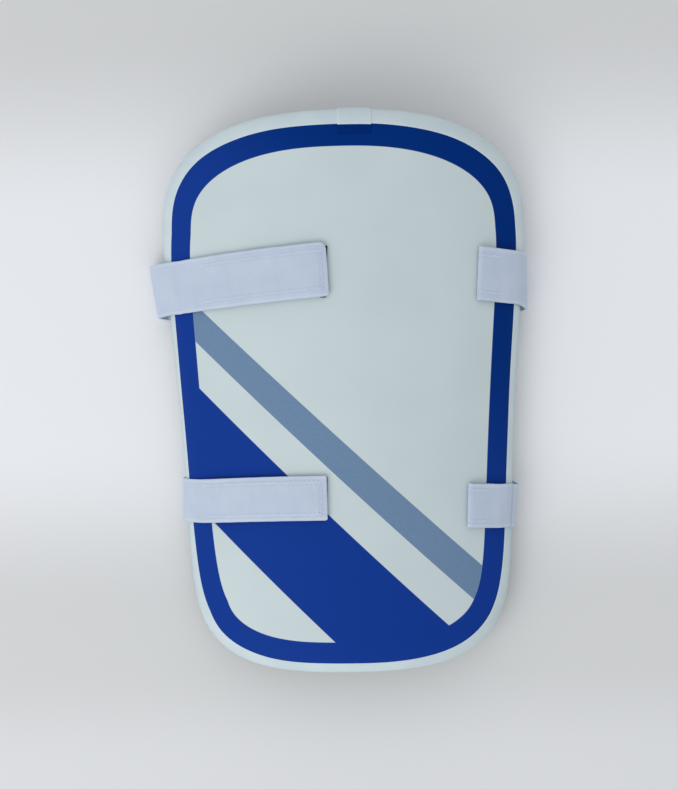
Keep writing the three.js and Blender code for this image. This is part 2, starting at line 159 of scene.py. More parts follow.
@dataclass
class GuardForm:
    """The arched front, the outline and the rounded edge that every piece is laid on."""

    length: float = 0.375
    mid_width: float = 0.241
    shoulder_flare: float = 0.0132
    end_flare: float = 0.0097
    wide_powers: tuple[float, float] = (2.5, 5.5)
    narrow_powers: tuple[float, float] = (3.35, 7.2)
    arch_radius: float = 0.199
    arch_radius_taper: float = 0.0136
    crest_rise: float = 0.0125
    shoulder_run: float = 0.020
    shoulder_drop: float = 0.011
    wall_height: float = 0.001
    heel_radius: float = 0.005
    pad_thickness: float = 0.022
    cover_wide: float = 0.0106
    cover_waist: float = 0.0103
    cover_narrow: float = 0.0079
    cover_shoulder_extra: float = 0.0119
    cover_extra_from: float = -0.11
    cover_unevenness: float = 0.39
    cover_right_extra: float = 0.0017
    corner_weight: float = 0.045
    origin: Vector = field(default_factory=Vector)

    @property
    def half_length(self) -> float:
        """Half of the guard's length."""
        return self.length / 2

    @property
    def edge_thickness(self) -> float:
        """How far the back lies under the front at the edge."""
        return self.shoulder_drop + self.wall_height + self.heel_radius

    def front_height(self, x: float, y: float) -> float:
        """Height of the front over the crest at mid length.

        Args:
            x: Place across the guard.
            y: Place along it.

        Returns:
            The height, below 0 away from the crest.
        """
        share = y / self.half_length
        radius = self.arch_radius + self.arch_radius_taper * share
        return self.crest_rise / 2 * share - (radius - math.sqrt(radius * radius - x * x))

    def front_normal(self, x: float, y: float) -> Vector:
        """The way that the front faces.

        Args:
            x: Place across the guard.
            y: Place along it.

        Returns:
            A unit vector out of the front.
        """
        radius = self.arch_radius + self.arch_radius_taper * y / self.half_length
        rise = math.sqrt(radius * radius - x * x)
        radius_slope = self.arch_radius_taper / self.half_length
        slope_y = self.crest_rise / 2 / self.half_length - radius_slope + radius * radius_slope / rise
        return Vector((x / rise, -slope_y, 1.0)).normalized()

    def on_front(self, x: float, y: float, height: float = 0.0) -> Vector:
        """A point over the front, in the shared frame.

        Args:
            x: Place across the guard of the point's foot.
            y: Place along it of the point's foot.
            height: How far the point stands off the front.

        Returns:
            The point.
        """
        foot = Vector((x, y, self.front_height(x, y)))
        return self.origin + foot + self.front_normal(x, y) * height

    def outline_point(self, angle: float) -> tuple[float, float]:
        """A point of the outline, a tapered superellipse.

        Args:
            angle: 0 on the right and a quarter turn at the wide end, in radians.

        Returns:
            Its place across and along the guard.
        """
        cosine, sine = math.cos(angle), math.sin(angle)
        side_power, crown_power = self.wide_powers if sine >= 0 else self.narrow_powers
        share = math.copysign(abs(sine) ** (2 / crown_power), sine)
        half_width = self.mid_width / 2 + self.shoulder_flare * share + self.end_flare * share * share
        across = math.copysign(abs(cosine) ** (2 / side_power), cosine)
        return half_width * across, self.half_length * share

    def edge_frame(self, angle: float) -> EdgeFrame:
        """Works out the way along the front that leads out of the guard at a station.

        Args:
            angle: The station's angle on the outline.

        Returns:
            The station's frame.
        """
        step = 1e-4
        x, y = self.outline_point(angle)
        after, before = self.outline_point(angle + step), self.outline_point(angle - step)
        along = Vector((after[0] - before[0], after[1] - before[1], 0.0)).normalized()
        normal = self.front_normal(x, y)
        along.z = -(normal.x * along.x + normal.y * along.y) / normal.z
        outward = along.normalized().cross(normal).normalized()
        return EdgeFrame(angle, x, y, outward.x, outward.y)

    def side_frame(self, side: Side, y: float) -> EdgeFrame:
        """The frame of the outline's station on one long side.

        Args:
            side: The long side.
            y: Place along the guard.

        Returns:
            The station's frame.
        """
        crown_power = (self.wide_powers if y >= 0 else self.narrow_powers)[1]
        sine = math.copysign((abs(y) / self.half_length) ** (crown_power / 2), y)
        angle = math.asin(sine)
        return self.edge_frame(angle if side is Side.RIGHT else math.pi - angle)

    def frame_over(self, side: Side, y: float, inset: float) -> EdgeFrame:
        """The frame of the station from which a place on the front lies straight inwards.

        Args:
            side: The long side.
            y: Place of the point along the guard.
            inset: Its distance in from the edge.

        Returns:
            The station's frame.
        """
        frame = self.side_frame(side, y)
        for _ in range(3):
            frame = self.side_frame(side, y + frame.out_y * inset)
        return frame

    def crown_frame(self, x: float) -> EdgeFrame:
        """The frame of the wide end's station at a place across the guard.

        Args:
            x: Place across the guard.

        Returns:
            The station's frame.
        """
        low, high = 0.0, math.pi
        for _ in range(50):
            middle = (low + high) / 2
            if self.outline_point(middle)[0] > x:
                low = middle
            else:
                high = middle
        return self.edge_frame((low + high) / 2)

    def at(self, frame: EdgeFrame, entry: Entry) -> Vector:
        """A point of the edge's profile at a station.

        Args:
            frame: The station.
            entry: The place on the profile.

        Returns:
            The point in the shared frame.
        """
        x = frame.x - frame.out_x * entry.inset
        y = frame.y - frame.out_y * entry.inset
        return self.on_front(x, y, entry.height)

    def shoulder_facing(self, degrees: float) -> Entry:
        """The place on the shoulder that faces a given way.

        Args:
            degrees: 0 faces out of the front and 90 out of the edge.

        Returns:
            The place.
        """
        turn = math.radians(degrees)
        sideways, upward = math.sin(turn), math.cos(turn)
        run, drop = self.shoulder_run, self.shoulder_drop
        reach = math.hypot(run * sideways, drop * upward)
        inset, height = run - run * run * sideways / reach, drop * drop * upward / reach - drop
        return Entry(inset, height, sideways, upward)

    def shoulder_at(self, inset: float) -> Entry:
        """The place on the front or the shoulder at a distance in from the edge.

        Args:
            inset: The distance.

        Returns:
            The place.
        """
        if inset >= self.shoulder_run:
            return Entry(inset, 0.0)
        sine = 1 - inset / self.shoulder_run
        cosine = math.sqrt(1 - sine * sine)
        turn = math.atan2(sine / self.shoulder_run, cosine / self.shoulder_drop)
        return Entry(inset, self.shoulder_drop * (cosine - 1), math.sin(turn), math.cos(turn))

    def heel_facing(self, degrees: float) -> Entry:
        """The place on the rounded heel that faces a given way.

        Args:
            degrees: 90 faces out of the edge and 180 out of the back.

        Returns:
            The place.
        """
        turn = math.radians(degrees)
        sideways, upward = math.sin(turn), math.cos(turn)
        height = self.heel_radius * (1 + upward) - self.edge_thickness
        return Entry(self.heel_radius * (1 - sideways), height, sideways, upward)

    def back_at(self, inset: float) -> Entry:
        """The place on the back at a distance in from the edge."""
        return Entry(inset, -self.edge_thickness, 0.0, -1.0)

    def cover(self, frame: EdgeFrame) -> float:
        """How far in the binding reaches on the front, which is where the border starts.

        Args:
            frame: The station on the outline.

        Returns:
            The distance in from the edge.
        """
        sine, share = math.sin(frame.angle), frame.y / self.half_length
        end = self.cover_wide if sine > 0 else self.cover_narrow
        crown = sine**4 * (end - self.cover_waist)
        widening = min((share - self.cover_extra_from) ** 2, 0.5) * math.cos(frame.angle) ** 2
        shoulder = self.cover_shoulder_extra * widening * (1 - self.cover_unevenness * frame.out_x)
        extra = shoulder + self.cover_right_extra * frame.out_x
        return self.cover_waist + crown + extra

    def stations(self, count: int) -> list[EdgeFrame]:
        """Stations round the outline from the wide end's middle, closer where it turns.

        Args:
            count: How many there are.

        Returns:
            Their frames, counter-clockwise as seen from the front.
        """
        fine = 800
        shares = [i / fine for i in range(1, fine)]
        quarter = [math.asin(share ** (self.wide_powers[1] / 2)) for share in shares]
        quarter += [math.pi / 2 * share for share in shares]
        turns = [0.0, *quarter, *(math.pi - angle for angle in quarter), math.pi]
        turns += [-turn for turn in turns[1:-1]]
        start, whole = math.pi / 2, 2 * math.pi
        angles = [start, *sorted(start + (turn - start) % whole for turn in turns), math.pi * 5 / 2]
        points = np.array([self.outline_point(angle) for angle in angles])
        legs = np.diff(points, axis=0)
        headings = np.unwrap(np.arctan2(legs[:, 1], legs[:, 0]))
        turns = np.abs(np.diff(headings, prepend=headings[0]))
        weights = np.hypot(legs[:, 0], legs[:, 1]) + self.corner_weight * turns
        travelled = np.concatenate([[0.0], np.cumsum(weights)])
        targets = travelled[-1] * np.arange(count) / count
        return [self.edge_frame(angle) for angle in np.interp(targets, travelled, angles)]

    def seat(self, low: Vector, high: Vector) -> None:
        """Moves the form's origin to where the frame's binding says that it is.

        Args:
            low: Lowest corner of the binding in the frame.
            high: Highest corner of the binding in the frame.
        """
        profile = [self.shoulder_facing(d) for d in (42, 66, 90)]
        profile += [self.heel_facing(d) for d in (90, 135, 180)]
        own = np.array([self.at(frame, entry) for frame in self.stations(360) for entry in profile])
        middle = (own.min(0) + own.max(0)) / 2
        self.origin = Vector((
            (low.x + high.x) / 2 - middle[0],
            (low.y + high.y) / 2 - middle[1],
            low.z - own[:, 2].min(),
        ))


class Workshop:
    """Making and finishing meshes with Blender's own tools."""

    @staticmethod
    def deselect() -> None:
        """Clears the selection, because an operator acts on all that is selected."""
        bpy.ops.object.select_all(action="DESELECT")

    @staticmethod
    def pick(piece: bpy.types.Object) -> None:
        """Makes one object the only selected and the active one."""
        Workshop.deselect()
        piece.select_set(True)
        bpy.context.view_layer.objects.active = piece

    @staticmethod
    def sheet(name: str, columns: int, rows: int) -> bpy.types.Object:
        """Adds a flat grid, one unit square, to be laid where it belongs.

        Args:
            name: The piece's name.
            columns: Points along its x.
            rows: Points along its y.

        Returns:
            The grid.
        """
        Workshop.deselect()
        bpy.ops.mesh.primitive_grid_add(x_subdivisions=columns - 1, y_subdivisions=rows - 1, size=1)
        piece = bpy.context.active_object
        piece.name = piece.data.name = name
        return piece

    @staticmethod
    def cell(vertex: bpy.types.MeshVertex, columns: int, rows: int) -> tuple[int, int]:
        """The column and row of a point on a grid that is still flat."""
        return round((vertex.co.x + 0.5) * (columns - 1)), round((vertex.co.y + 0.5) * (rows - 1))

    @staticmethod
    def mark(piece: bpy.types.Object, name: str, value: Callable[[bpy.types.MeshVertex], float]) -> None:
        """Gives every point of a mesh a number that its finish reads.

        Args:
            piece: The object.
            name: The number's name.
            value: Gives the number at a point.
        """
        chart = piece.data.attributes.new(name, "FLOAT", "POINT")
        for vertex in piece.data.vertices:
            chart.data[vertex.index].value = value(vertex)

    @staticmethod
    def lay(piece: bpy.types.Object, place: Callable[[int, int], Vector], columns: int, rows: int) -> None:
        """Moves every point of a grid to its place.

        Args:
            piece: The grid.
            place: Gives the place of the point in a column and row.
            columns: Points along its x.
            rows: Points along its y.
        """
        for vertex in piece.data.vertices:
            vertex.co = place(*Workshop.cell(vertex, columns, rows))
        piece.data.update()

    @staticmethod
    def solid(name: str, points: Sequence[Vector], faces: Sequence[Sequence[int]]) -> bpy.types.Object:
        """Makes an object of points and faces.

        Args:
            name: The piece's name.
            points: Its vertices.
            faces: Its faces, as indices of the points.

        Returns:
            The object, with its faces turned outwards.
        """
        mesh = bpy.data.meshes.new(name)
        mesh.from_pydata(points, [], faces)
        piece = bpy.data.objects.new(name, mesh)
        bpy.context.collection.objects.link(piece)
        Workshop.pick(piece)
        bpy.ops.object.mode_set(mode="EDIT")
        bpy.ops.mesh.select_all(action="SELECT")
        bpy.ops.mesh.normals_make_consistent(inside=False)
        bpy.ops.object.mode_set(mode="OBJECT")
        return piece

    @staticmethod
    def modify(piece: bpy.types.Object, kind: str, **settings: object) -> None:
        """Adds a modifier and applies it.

        Args:
            piece: The object.
            kind: Blender's name of the modifier's type.
            **settings: The modifier's values.
        """
        Workshop.pick(piece)
        modifier = piece.modifiers.new(kind.lower(), kind)
        for key, value in settings.items():
            setattr(modifier, key, value)
        bpy.ops.object.modifier_apply(modifier=modifier.name)

    @staticmethod
    def round_edges(piece: bpy.types.Object, width: float, angle: float) -> None:
        """Rounds the edges of a piece that turn by more than an angle in radians."""
        Workshop.modify(piece, "BEVEL", width=width, segments=2, limit_method="ANGLE", angle_limit=angle)

    @staticmethod
    def smooth(piece: bpy.types.Object, degrees: float = 40.0) -> None:
        """Shades a piece smooth, apart from edges sharper than the angle."""
        Workshop.pick(piece)
        bpy.ops.object.shade_smooth_by_angle(angle=math.radians(degrees))

    @staticmethod
    def dress(piece: bpy.types.Object, material: bpy.types.Material, slot: str, *nodes: str) -> None:
        """Gives a piece its finish, hangs it on the guard's body and hides the frame's nodes that it
        replaces.

        Args:
            piece: The object.
            material: Its finish.
            slot: The record's slot that the finish stands for. It is not used.
            *nodes: The frame's nodes that it replaces.
        """
        piece.data.materials.clear()
        piece.data.materials.append(material)
        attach(piece, BODY)
        if nodes:
            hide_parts(*nodes)


class Graph:
    """A material's nodes, with short calls for those that the finishes share."""

    def __init__(self, name: str) -> None:
        """Starts a material with a plain shader.

        Args:
            name: The material's name.
        """
        self.material = bpy.data.materials.new(name)
        self.material.use_nodes = True
        self.tree = self.material.node_tree
        self.shader = self.tree.nodes["Principled BSDF"]

    def add(self, kind: str, **settings: object) -> bpy.types.Node:
        """Adds a node and sets its values.

        Args:
            kind: The node's type.
            **settings: The node's own values.

        Returns:
            The node.
        """
        node = self.tree.nodes.new(kind)
        for key, value in settings.items():
            setattr(node, key, value)
        return node

    def feed(self, socket: bpy.types.NodeSocket, value: object) -> None:
        """Links a socket, or sets it where the value is plain.

        Args:
            socket: The input.
            value: Another socket, a number or a colour.
        """
        if isinstance(value, bpy.types.NodeSocket):
            self.tree.links.new(value, socket)
        else:
            socket.default_value = value

    def set(self, **values: object) -> None:
        """Sets or links the shader's inputs.

        Args:
            **values: Inputs by name, with _ for a space.
        """
        for key, value in values.items():
            self.feed(self.shader.inputs[key.replace("_", " ")], value)

    def math(self, operation: str, first: object, second: object = 0.0) -> bpy.types.NodeSocket:
        """Works out a value from two.

        Args:
            operation: Blender's name of the sum.
            first: The first value or socket.
            second: The second value or socket.

        Returns:
            The result.
        """
        node = self.add("ShaderNodeMath", operation=operation)
        self.feed(node.inputs[0], first)
        self.feed(node.inputs[1], second)
        return node.outputs[0]

    def total(self, *values: object) -> bpy.types.NodeSocket:
        """Adds up two or more values or sockets."""
        result = values[0]
        for value in values[1:]:
            result = self.math("ADD", result, value)
        return result

    def ease(
        self, value: object, low: float, high: float, start: float = 0.0, end: float = 1.0
    ) -> bpy.types.NodeSocket:
        """Eases a value from start at low to end at high.

        Args:
            value: The value or socket.
            low: Where the result leaves start.
            high: Where the result reaches end.
            start: The result below low.
            end: The result above high.

        Returns:
            The eased value.
        """
        node = self.add("ShaderNodeMapRange", interpolation_type="SMOOTHSTEP")
        for i, part in enumerate((value, low, high, start, end)):
            self.feed(node.inputs[i], part)
        return node.outputs[0]

    def blend(self, factor: object, first: object, second: object) -> bpy.types.NodeSocket:
        """Blends two colours.

        Args:
            factor: Share of the second.
            first: The first colour or socket.
            second: The second colour or socket.

        Returns:
            The blended colour.
        """
        node = self.add("ShaderNodeMix", data_type="RGBA")
        self.feed(node.inputs["Factor"], factor)
        self.feed(node.inputs[6], first)
        self.feed(node.inputs[7], second)
        return node.outputs[2]

    def place(self) -> bpy.types.NodeSocket:
        """The object's own coordinates, which are the shared frame's."""
        return self.add("ShaderNodeTexCoord").outputs["Object"]

    def uv(self, name: str) -> bpy.types.NodeSocket:
        """A piece's own UV map."""
        return self.add("ShaderNodeUVMap", uv_map=name).outputs[0]

    def attribute(self, name: str) -> bpy.types.NodeSocket:
        """A number that the mesh carries at each point."""
        return self.add("ShaderNodeAttribute", attribute_name=name).outputs["Fac"]

    def split(self, vector: bpy.types.NodeSocket) -> tuple[bpy.types.NodeSocket, ...]:
        """Splits a vector into x, y and z."""
        node = self.add("ShaderNodeSeparateXYZ")
        self.feed(node.inputs[0], vector)
        return tuple(node.outputs)

    def stretched(self, vector: bpy.types.NodeSocket, scale: Sequence[float]) -> bpy.types.NodeSocket:
        """Scales a vector along each axis.

        Args:
            vector: The vector.
            scale: The factor of each axis.

        Returns:
            The scaled vector.
        """
        node = self.add("ShaderNodeMapping")
        self.feed(node.inputs["Vector"], vector)
        node.inputs["Scale"].default_value = scale
        return node.outputs[0]

    def noise(self, vector: bpy.types.NodeSocket, size: float, detail: float = 2.0) -> bpy.types.NodeSocket:
        """Cloudy noise from 0 to 1.

        Args:
            vector: Where it is read, in metres.
            size: About how wide a cloud is.
            detail: How many finer layers it has.

        Returns:
            The noise.
        """
        node = self.add("ShaderNodeTexNoise")
        self.feed(node.inputs["Vector"], vector)
        node.inputs["Scale"].default_value = 1 / size
        node.inputs["Detail"].default_value = detail
        return node.outputs["Fac"]

    def ribs(self, value: bpy.types.NodeSocket, pitch: float) -> bpy.types.NodeSocket:
        """Even round ribs across a length.

        Args:
            value: The length.
            pitch: From one rib to the next.

        Returns:
            A height from -1 to 1.
        """
        return self.math("SINE", self.math("MULTIPLY", value, 2 * math.pi / pitch))

    def bump(self, height: bpy.types.NodeSocket, distance: float) -> None:
        """Gives the shader a fine relief.

        Args:
            height: The relief, about 0 to 1.
            distance: How deep it is in metres.
        """
        node = self.add("ShaderNodeBump")
        node.inputs["Distance"].default_value = distance
        self.feed(node.inputs["Height"], height)
        self.feed(self.shader.inputs["Normal"], node.outputs[0])


@dataclass(frozen=True)
class PrintedStripe:
    """A printed diagonal stripe: its two edges as lines y = start + slope x on the guard's axes."""

    upper_start: float
    upper_slope: float
    lower_start: float
    lower_slope: float

    def mask(
        self, graph: Graph, x: bpy.types.NodeSocket, y: bpy.types.NodeSocket, soft: float
    ) -> bpy.types.NodeSocket:
        """Where the stripe is printed.

        Args:
            graph: The material's nodes.
            x: Place across the guard.
            y: Place along the guard.
            soft: How far its edges fade.

        Returns:
            1 inside the stripe and 0 outside.
        """
        over = graph.math("SUBTRACT", y, graph.math("MULTIPLY", x, self.upper_slope))
        under = graph.math("SUBTRACT", y, graph.math("MULTIPLY", x, self.lower_slope))
        below = graph.ease(over, self.upper_start - soft, self.upper_start + soft, 1.0, 0.0)
        above = graph.ease(under, self.lower_start - soft, self.lower_start + soft)
        return graph.math("MULTIPLY", below, above)


@dataclass(frozen=True)
class FacingFinish:
    """Satin moulded sheet with a blue border and two diagonal stripes printed on it, its blue painted
    darker towards the upper right as shade.
    """

    white: tuple[float, ...] = srgb(206, 217, 217)
    white_shade: tuple[float, ...] = srgb(201, 213, 214)
    blue: tuple[float, ...] = srgb(20, 58, 144)
    # The print's blue with painted shade, used towards the upper right, away from the light.
    blue_painted_shade: tuple[float, ...] = srgb(0, 46, 120)
    grey: tuple[float, ...] = srgb(109, 136, 165)
    grey_spark: tuple[float, ...] = srgb(115, 141, 170)
    blue_shade_span: tuple[float, float] = (0.0, 0.14)
    blue_stripe: PrintedStripe = PrintedStripe(-0.0922, -0.989, -0.1755, -0.985)
    grey_stripe: PrintedStripe = PrintedStripe(-0.0332, -0.955, -0.0604, -0.97)
    soft: float = 0.00025
    spark_size: float = 0.0009

    def material(self, origin: Vector) -> bpy.types.Material:
        """Makes the material.

        Args:
            origin: The guard's own origin in the shared frame.

        Returns:
            The material.
        """
        graph = Graph("printed_facing")
        place = graph.place()
        x, y, _ = graph.split(place)
        x = graph.math("SUBTRACT", x, origin.x)
        y = graph.math("SUBTRACT", y, origin.y)
        border = graph.attribute("border")
        inside = graph.ease(border, 1 - 0.015, 1 + 0.015)
        blue_area = self.blue_stripe.mask(graph, x, y, self.soft)
        blue_area = graph.math("MAXIMUM", blue_area, graph.math("SUBTRACT", 1.0, inside))
        grey_area = graph.math("MULTIPLY", self.grey_stripe.mask(graph, x, y, self.soft), inside)
        cloud = graph.noise(place, 0.05)
        fine = graph.noise(place, self.spark_size, 1.0)
        white = graph.blend(graph.ease(cloud, 0.3, 0.7), self.white, self.white_shade)
        # Painted shade: the blue darkens towards the upper right, away from the lower left light.
        shade_slant = graph.total(x, graph.math("MULTIPLY", y, 0.8))
        blue = graph.blend(graph.ease(shade_slant, *self.blue_shade_span), self.blue, self.blue_painted_shade)
        grey = graph.blend(graph.ease(fine, 0.38, 0.68), self.grey, self.grey_spark)
        colour = graph.blend(grey_area, graph.blend(blue_area, white, blue), grey)
        graph.set(Base_Color=colour, Roughness=0.5, Specular_IOR_Level=0.03)
        graph.bump(graph.noise(place, 0.0012, 2.0), 0.00003)
        return graph.material


@dataclass(frozen=True)
class BindingFinish:
    """White satin tape, or the same tape where the facing's blue runs over it, with painted shade where it
    turns down to the floor and a painted highlight along the lap's folded sides.
    """

    white: tuple[float, ...] = srgb(208, 221, 224)
    shade: tuple[float, ...] = srgb(199, 213, 217)
    # Painted shade for where the tape turns down towards the floor.
    turned: tuple[float, ...] = srgb(168, 186, 188)
    # Painted highlight for the lap's folded sides.
    fold: tuple[float, ...] = srgb(220, 230, 233)
    blue: tuple[float, ...] = srgb(0, 42, 113)

    def material(self, name: str, printed: bool) -> bpy.types.Material:
        """Makes the material.

        Args:
            name: The material's name.
            printed: True if the piece carries blue where its attribute printed says so.

        Returns:
            The material.
        """
        graph = Graph(name)
        place = graph.place()
        cloud = graph.noise(place, 0.018)
        weave = graph.noise(place, 0.0007, 1.0)
        colour = graph.blend(graph.ease(cloud, 0.3, 0.7, 0.0, 0.6), self.white, self.shade)
        # Painted shade where the tape turns under.
        colour = graph.blend(graph.attribute("turned"), colour, self.turned)
        if printed:
            # Painted highlight along the lap's folded sides.
            colour = graph.blend(graph.attribute("fold"), colour, self.fold)
            area = graph.ease(graph.attribute("printed"), 0.4, 0.6)
            colour = graph.blend(area, colour, self.blue)
        graph.set(Base_Color=colour, Roughness=0.55, Specular_IOR_Level=0.02 if printed else 0.08)
        graph.bump(graph.total(graph.math("MULTIPLY", weave, 0.5), cloud), 0.00008)
        return graph.material


@dataclass(frozen=True)
class WebbingFinish:
    """Pale knitted elastic, finely ribbed, with paler selvages that are partly a painted highlight, and
    painted shade darkening its seams and folds.
    """

    pale: tuple[float, ...] = srgb(200, 211, 226)
    shade: tuple[float, ...] = srgb(185, 197, 215)
    # Paler selvage colour, partly a painted highlight along the edges.
    selvage: tuple[float, ...] = srgb(219, 227, 240)
    # Painted shade along the sewn rows.
    seam: tuple[float, ...] = srgb(174, 186, 206)
    # Painted shade for the folded end's turn and the crease.
    turned: tuple[float, ...] = srgb(92, 108, 124)
    selvage_highlight_share: float = 0.4
    seam_shade_share: float = 0.3
    turn_shade_share: float = 0.6
    rib_pitch: float = 0.0009
    weft_pitch: float = 0.0011

    def material(self, name: str) -> bpy.types.Material:
        """Makes the material, which reads the piece's own map of metres along and across.

        Args:
            name: The material's name.

        Returns:
            The material.
        """
        graph = Graph(name)
        chart = graph.uv("weave")
        along, across, _ = graph.split(chart)
        ribs = graph.ribs(across, self.rib_pitch)
        weft = graph.ribs(graph.total(along, graph.math("MULTIPLY", ribs, 0.0002)), self.weft_pitch)
        bands = graph.noise(graph.stretched(chart, (1.0, 0.12, 1.0)), 0.006, 1.0)
        cloud = graph.noise(graph.place(), 0.02)
        tone = graph.total(
            graph.math("MULTIPLY", ribs, 0.03),
            graph.math("MULTIPLY", weft, 0.02),
            graph.math("MULTIPLY", bands, 0.15),
            graph.math("MULTIPLY", cloud, 0.35),
        )
        colour = graph.blend(graph.ease(tone, 0.0, 0.5), self.pale, self.shade)
        # Paler selvages, partly painted highlight, and painted shade along the seams and turns.
        highlight_and_shade_marks = (
            ("selvage", self.selvage_highlight_share, self.selvage),
            ("seam", self.seam_shade_share, self.seam),
            ("turned", self.turn_shade_share, self.turned),
        )
        for name, share, tint in highlight_and_shade_marks:
            colour = graph.blend(graph.math("MULTIPLY", graph.attribute(name), share), colour, tint)
        graph.set(Base_Color=colour, Roughness=0.85, Specular_IOR_Level=0.15, Sheen_Weight=0.15)
        graph.bump(graph.total(ribs, graph.math("MULTIPLY", weft, 0.6)), 0.00002)
        return graph.material


@dataclass(frozen=True)
class TapeFinish:
    """Hook or loop tape: tiny hooks or brushed loops over a woven ground."""

    dark: tuple[float, ...]
    light: tuple[float, ...]
    tuft: float = 0.0008
    depth: float = 0.0003

    def material(self, name: str) -> bpy.types.Material:
        """Makes the material.

        Args:
            name: The material's name.

        Returns:
            The material.
        """
        graph = Graph(name)
        place = graph.place()
        tufts = graph.noise(place, self.tuft, 3.0)
        graph.set(Base_Color=graph.blend(graph.ease(tufts, 0.35, 0.7), self.dark, self.light))
        graph.set(Roughness=0.9, Specular_IOR_Level=0.2)
        graph.bump(tufts, self.depth)
        return graph.material


@dataclass(frozen=True)
class LiningFinish:
    """Thin knitted lining over the foam's back and edge."""

    pale: tuple[float, ...] = srgb(196, 206, 209)
    shade: tuple[float, ...] = srgb(176, 188, 193)
    stitch: float = 0.0016

    def material(self) -> bpy.types.Material:
        """Makes the material."""
        graph = Graph("foam_lining")
        place = graph.place()
        x, y, _ = graph.split(place)
        knit = graph.math("MULTIPLY", graph.ribs(x, self.stitch), graph.ribs(y, self.stitch * 1.3))
        cloud = graph.noise(place, 0.03, 3.0)
        tone = graph.total(graph.math("MULTIPLY", knit, 0.15), cloud)
        colour = graph.blend(graph.ease(tone, 0.3, 0.75), self.pale, self.shade)
        graph.set(Base_Color=colour, Roughness=0.9, Specular_IOR_Level=0.15, Sheen_Weight=0.1)
        graph.bump(knit, 0.00012)
        return graph.material


@dataclass(frozen=True)
class ThreadFinish:
    """Twisted white sewing thread, and painted shade in the holes that the needle left."""

    pale: tuple[float, ...] = srgb(232, 238, 248)
    shade: tuple[float, ...] = srgb(212, 220, 234)
    # Painted shade for the needle holes.
    hole: tuple[float, ...] = srgb(138, 152, 182)

    def material(self) -> bpy.types.Material:
        """Makes the material."""
        graph = Graph("sewing_thread")
        twist = graph.noise(graph.place(), 0.0005, 1.0)
        thread = graph.blend(graph.ease(twist, 0.4, 0.6), self.pale, self.shade)
        graph.set(Base_Color=graph.blend(graph.attribute("hole"), thread, self.hole))
        graph.set(Roughness=0.6, Specular_IOR_Level=0.15)
        graph.bump(twist, 0.00005)
        return graph.material


def square_ring_point(column: int, row: int, rings: int) -> tuple[float, float]:
    """Reads a square grid as rings round its middle.

    Args:
        column: The point's column, from 0 to twice the rings.
        row: The point's row.
        rings: How many rings the grid has.

    Returns:
        How far out the point's ring is, from 0 to 1, and how far round the ring the point is,
        from 0 at the middle of the far side, counter-clockwise, to 1.
    """
    across, up = column - rings, row - rings
    ring = max(abs(across), abs(up))
    if ring == 0:
        return 0.0, 0.0
    if up == ring:
        eighths = -across / ring
    elif across == -ring:
        eighths = 2 - up / ring
    elif up == -ring:
        eighths = 4 + across / ring
    else:
        eighths = 6 + up / ring
    return ring / rings, (eighths / 8) % 1.0


@dataclass
class Shell:
    """A sheet that follows the guard's front, cut as rings in from the edge to the middle."""

    form: GuardForm
    rings: int = 64
    edge_share: float = 0.3
    edge_width: float = 0.0195

    def __post_init__(self) -> None:
        """Works out a station for each point of the outermost ring."""
        self.frames = self.form.stations(8 * self.rings)

    def frame(self, turn: float) -> EdgeFrame:
        """The station at a share of the way round.

        Args:
            turn: The share, from the wide end's middle, counter-clockwise.

        Returns:
            The station's frame.
        """
        place = turn * len(self.frames)
        nearest = round(place)
        if abs(place - nearest) < 1e-6:
            return self.frames[nearest % len(self.frames)]
        before = self.frames[int(place) % len(self.frames)]
        after = self.frames[(int(place) + 1) % len(self.frames)]
        share = place - int(place)
        gap = (after.angle - before.angle) % (2 * math.pi)
        near = (before.x, before.y, before.out_x, before.out_y)
        far = (after.x, after.y, after.out_x, after.out_y)
        return EdgeFrame(before.angle + gap * share, *(mix(a, b, share) for a, b in zip(near, far)))

    def plan(self, out: float, frame: EdgeFrame, start: float) -> tuple[float, float, float]:
        """Where a point of a ring is in plan.

        Args:
            out: How far out its ring is, from 0 to 1.
            frame: Its station.
            start: Inset of the outermost ring.

        Returns:
            Its place across and along the guard, and its inset from the edge.
        """
        split = 1 - self.edge_share
        inner = start + self.edge_width
        if out >= split:
            inset = mix(inner, start, (out - split) / self.edge_share)
            return frame.x - frame.out_x * inset, frame.y - frame.out_y * inset, inset
        share = out / split
        x = (frame.x - frame.out_x * inner) * share
        y = (frame.y - frame.out_y * inner) * share
        return x, y, inner + (1 - share) * self.form.mid_width / 2

    def points(self, start: Callable[[EdgeFrame], float]) -> list[tuple[float, float, float, EdgeFrame]]:
        """Plan points of the whole grid, row by row.

        Args:
            start: Gives the inset of the outermost ring at a station.

        Returns:
            Place across, place along, inset and station of each point.
        """
        side = 2 * self.rings + 1
        found = []
        for row in range(side):
            for column in range(side):
                out, turn = square_ring_point(column, row, self.rings)
                frame = self.frame(turn)
                found.append((*self.plan(out, frame, start(frame)), frame))
        return found


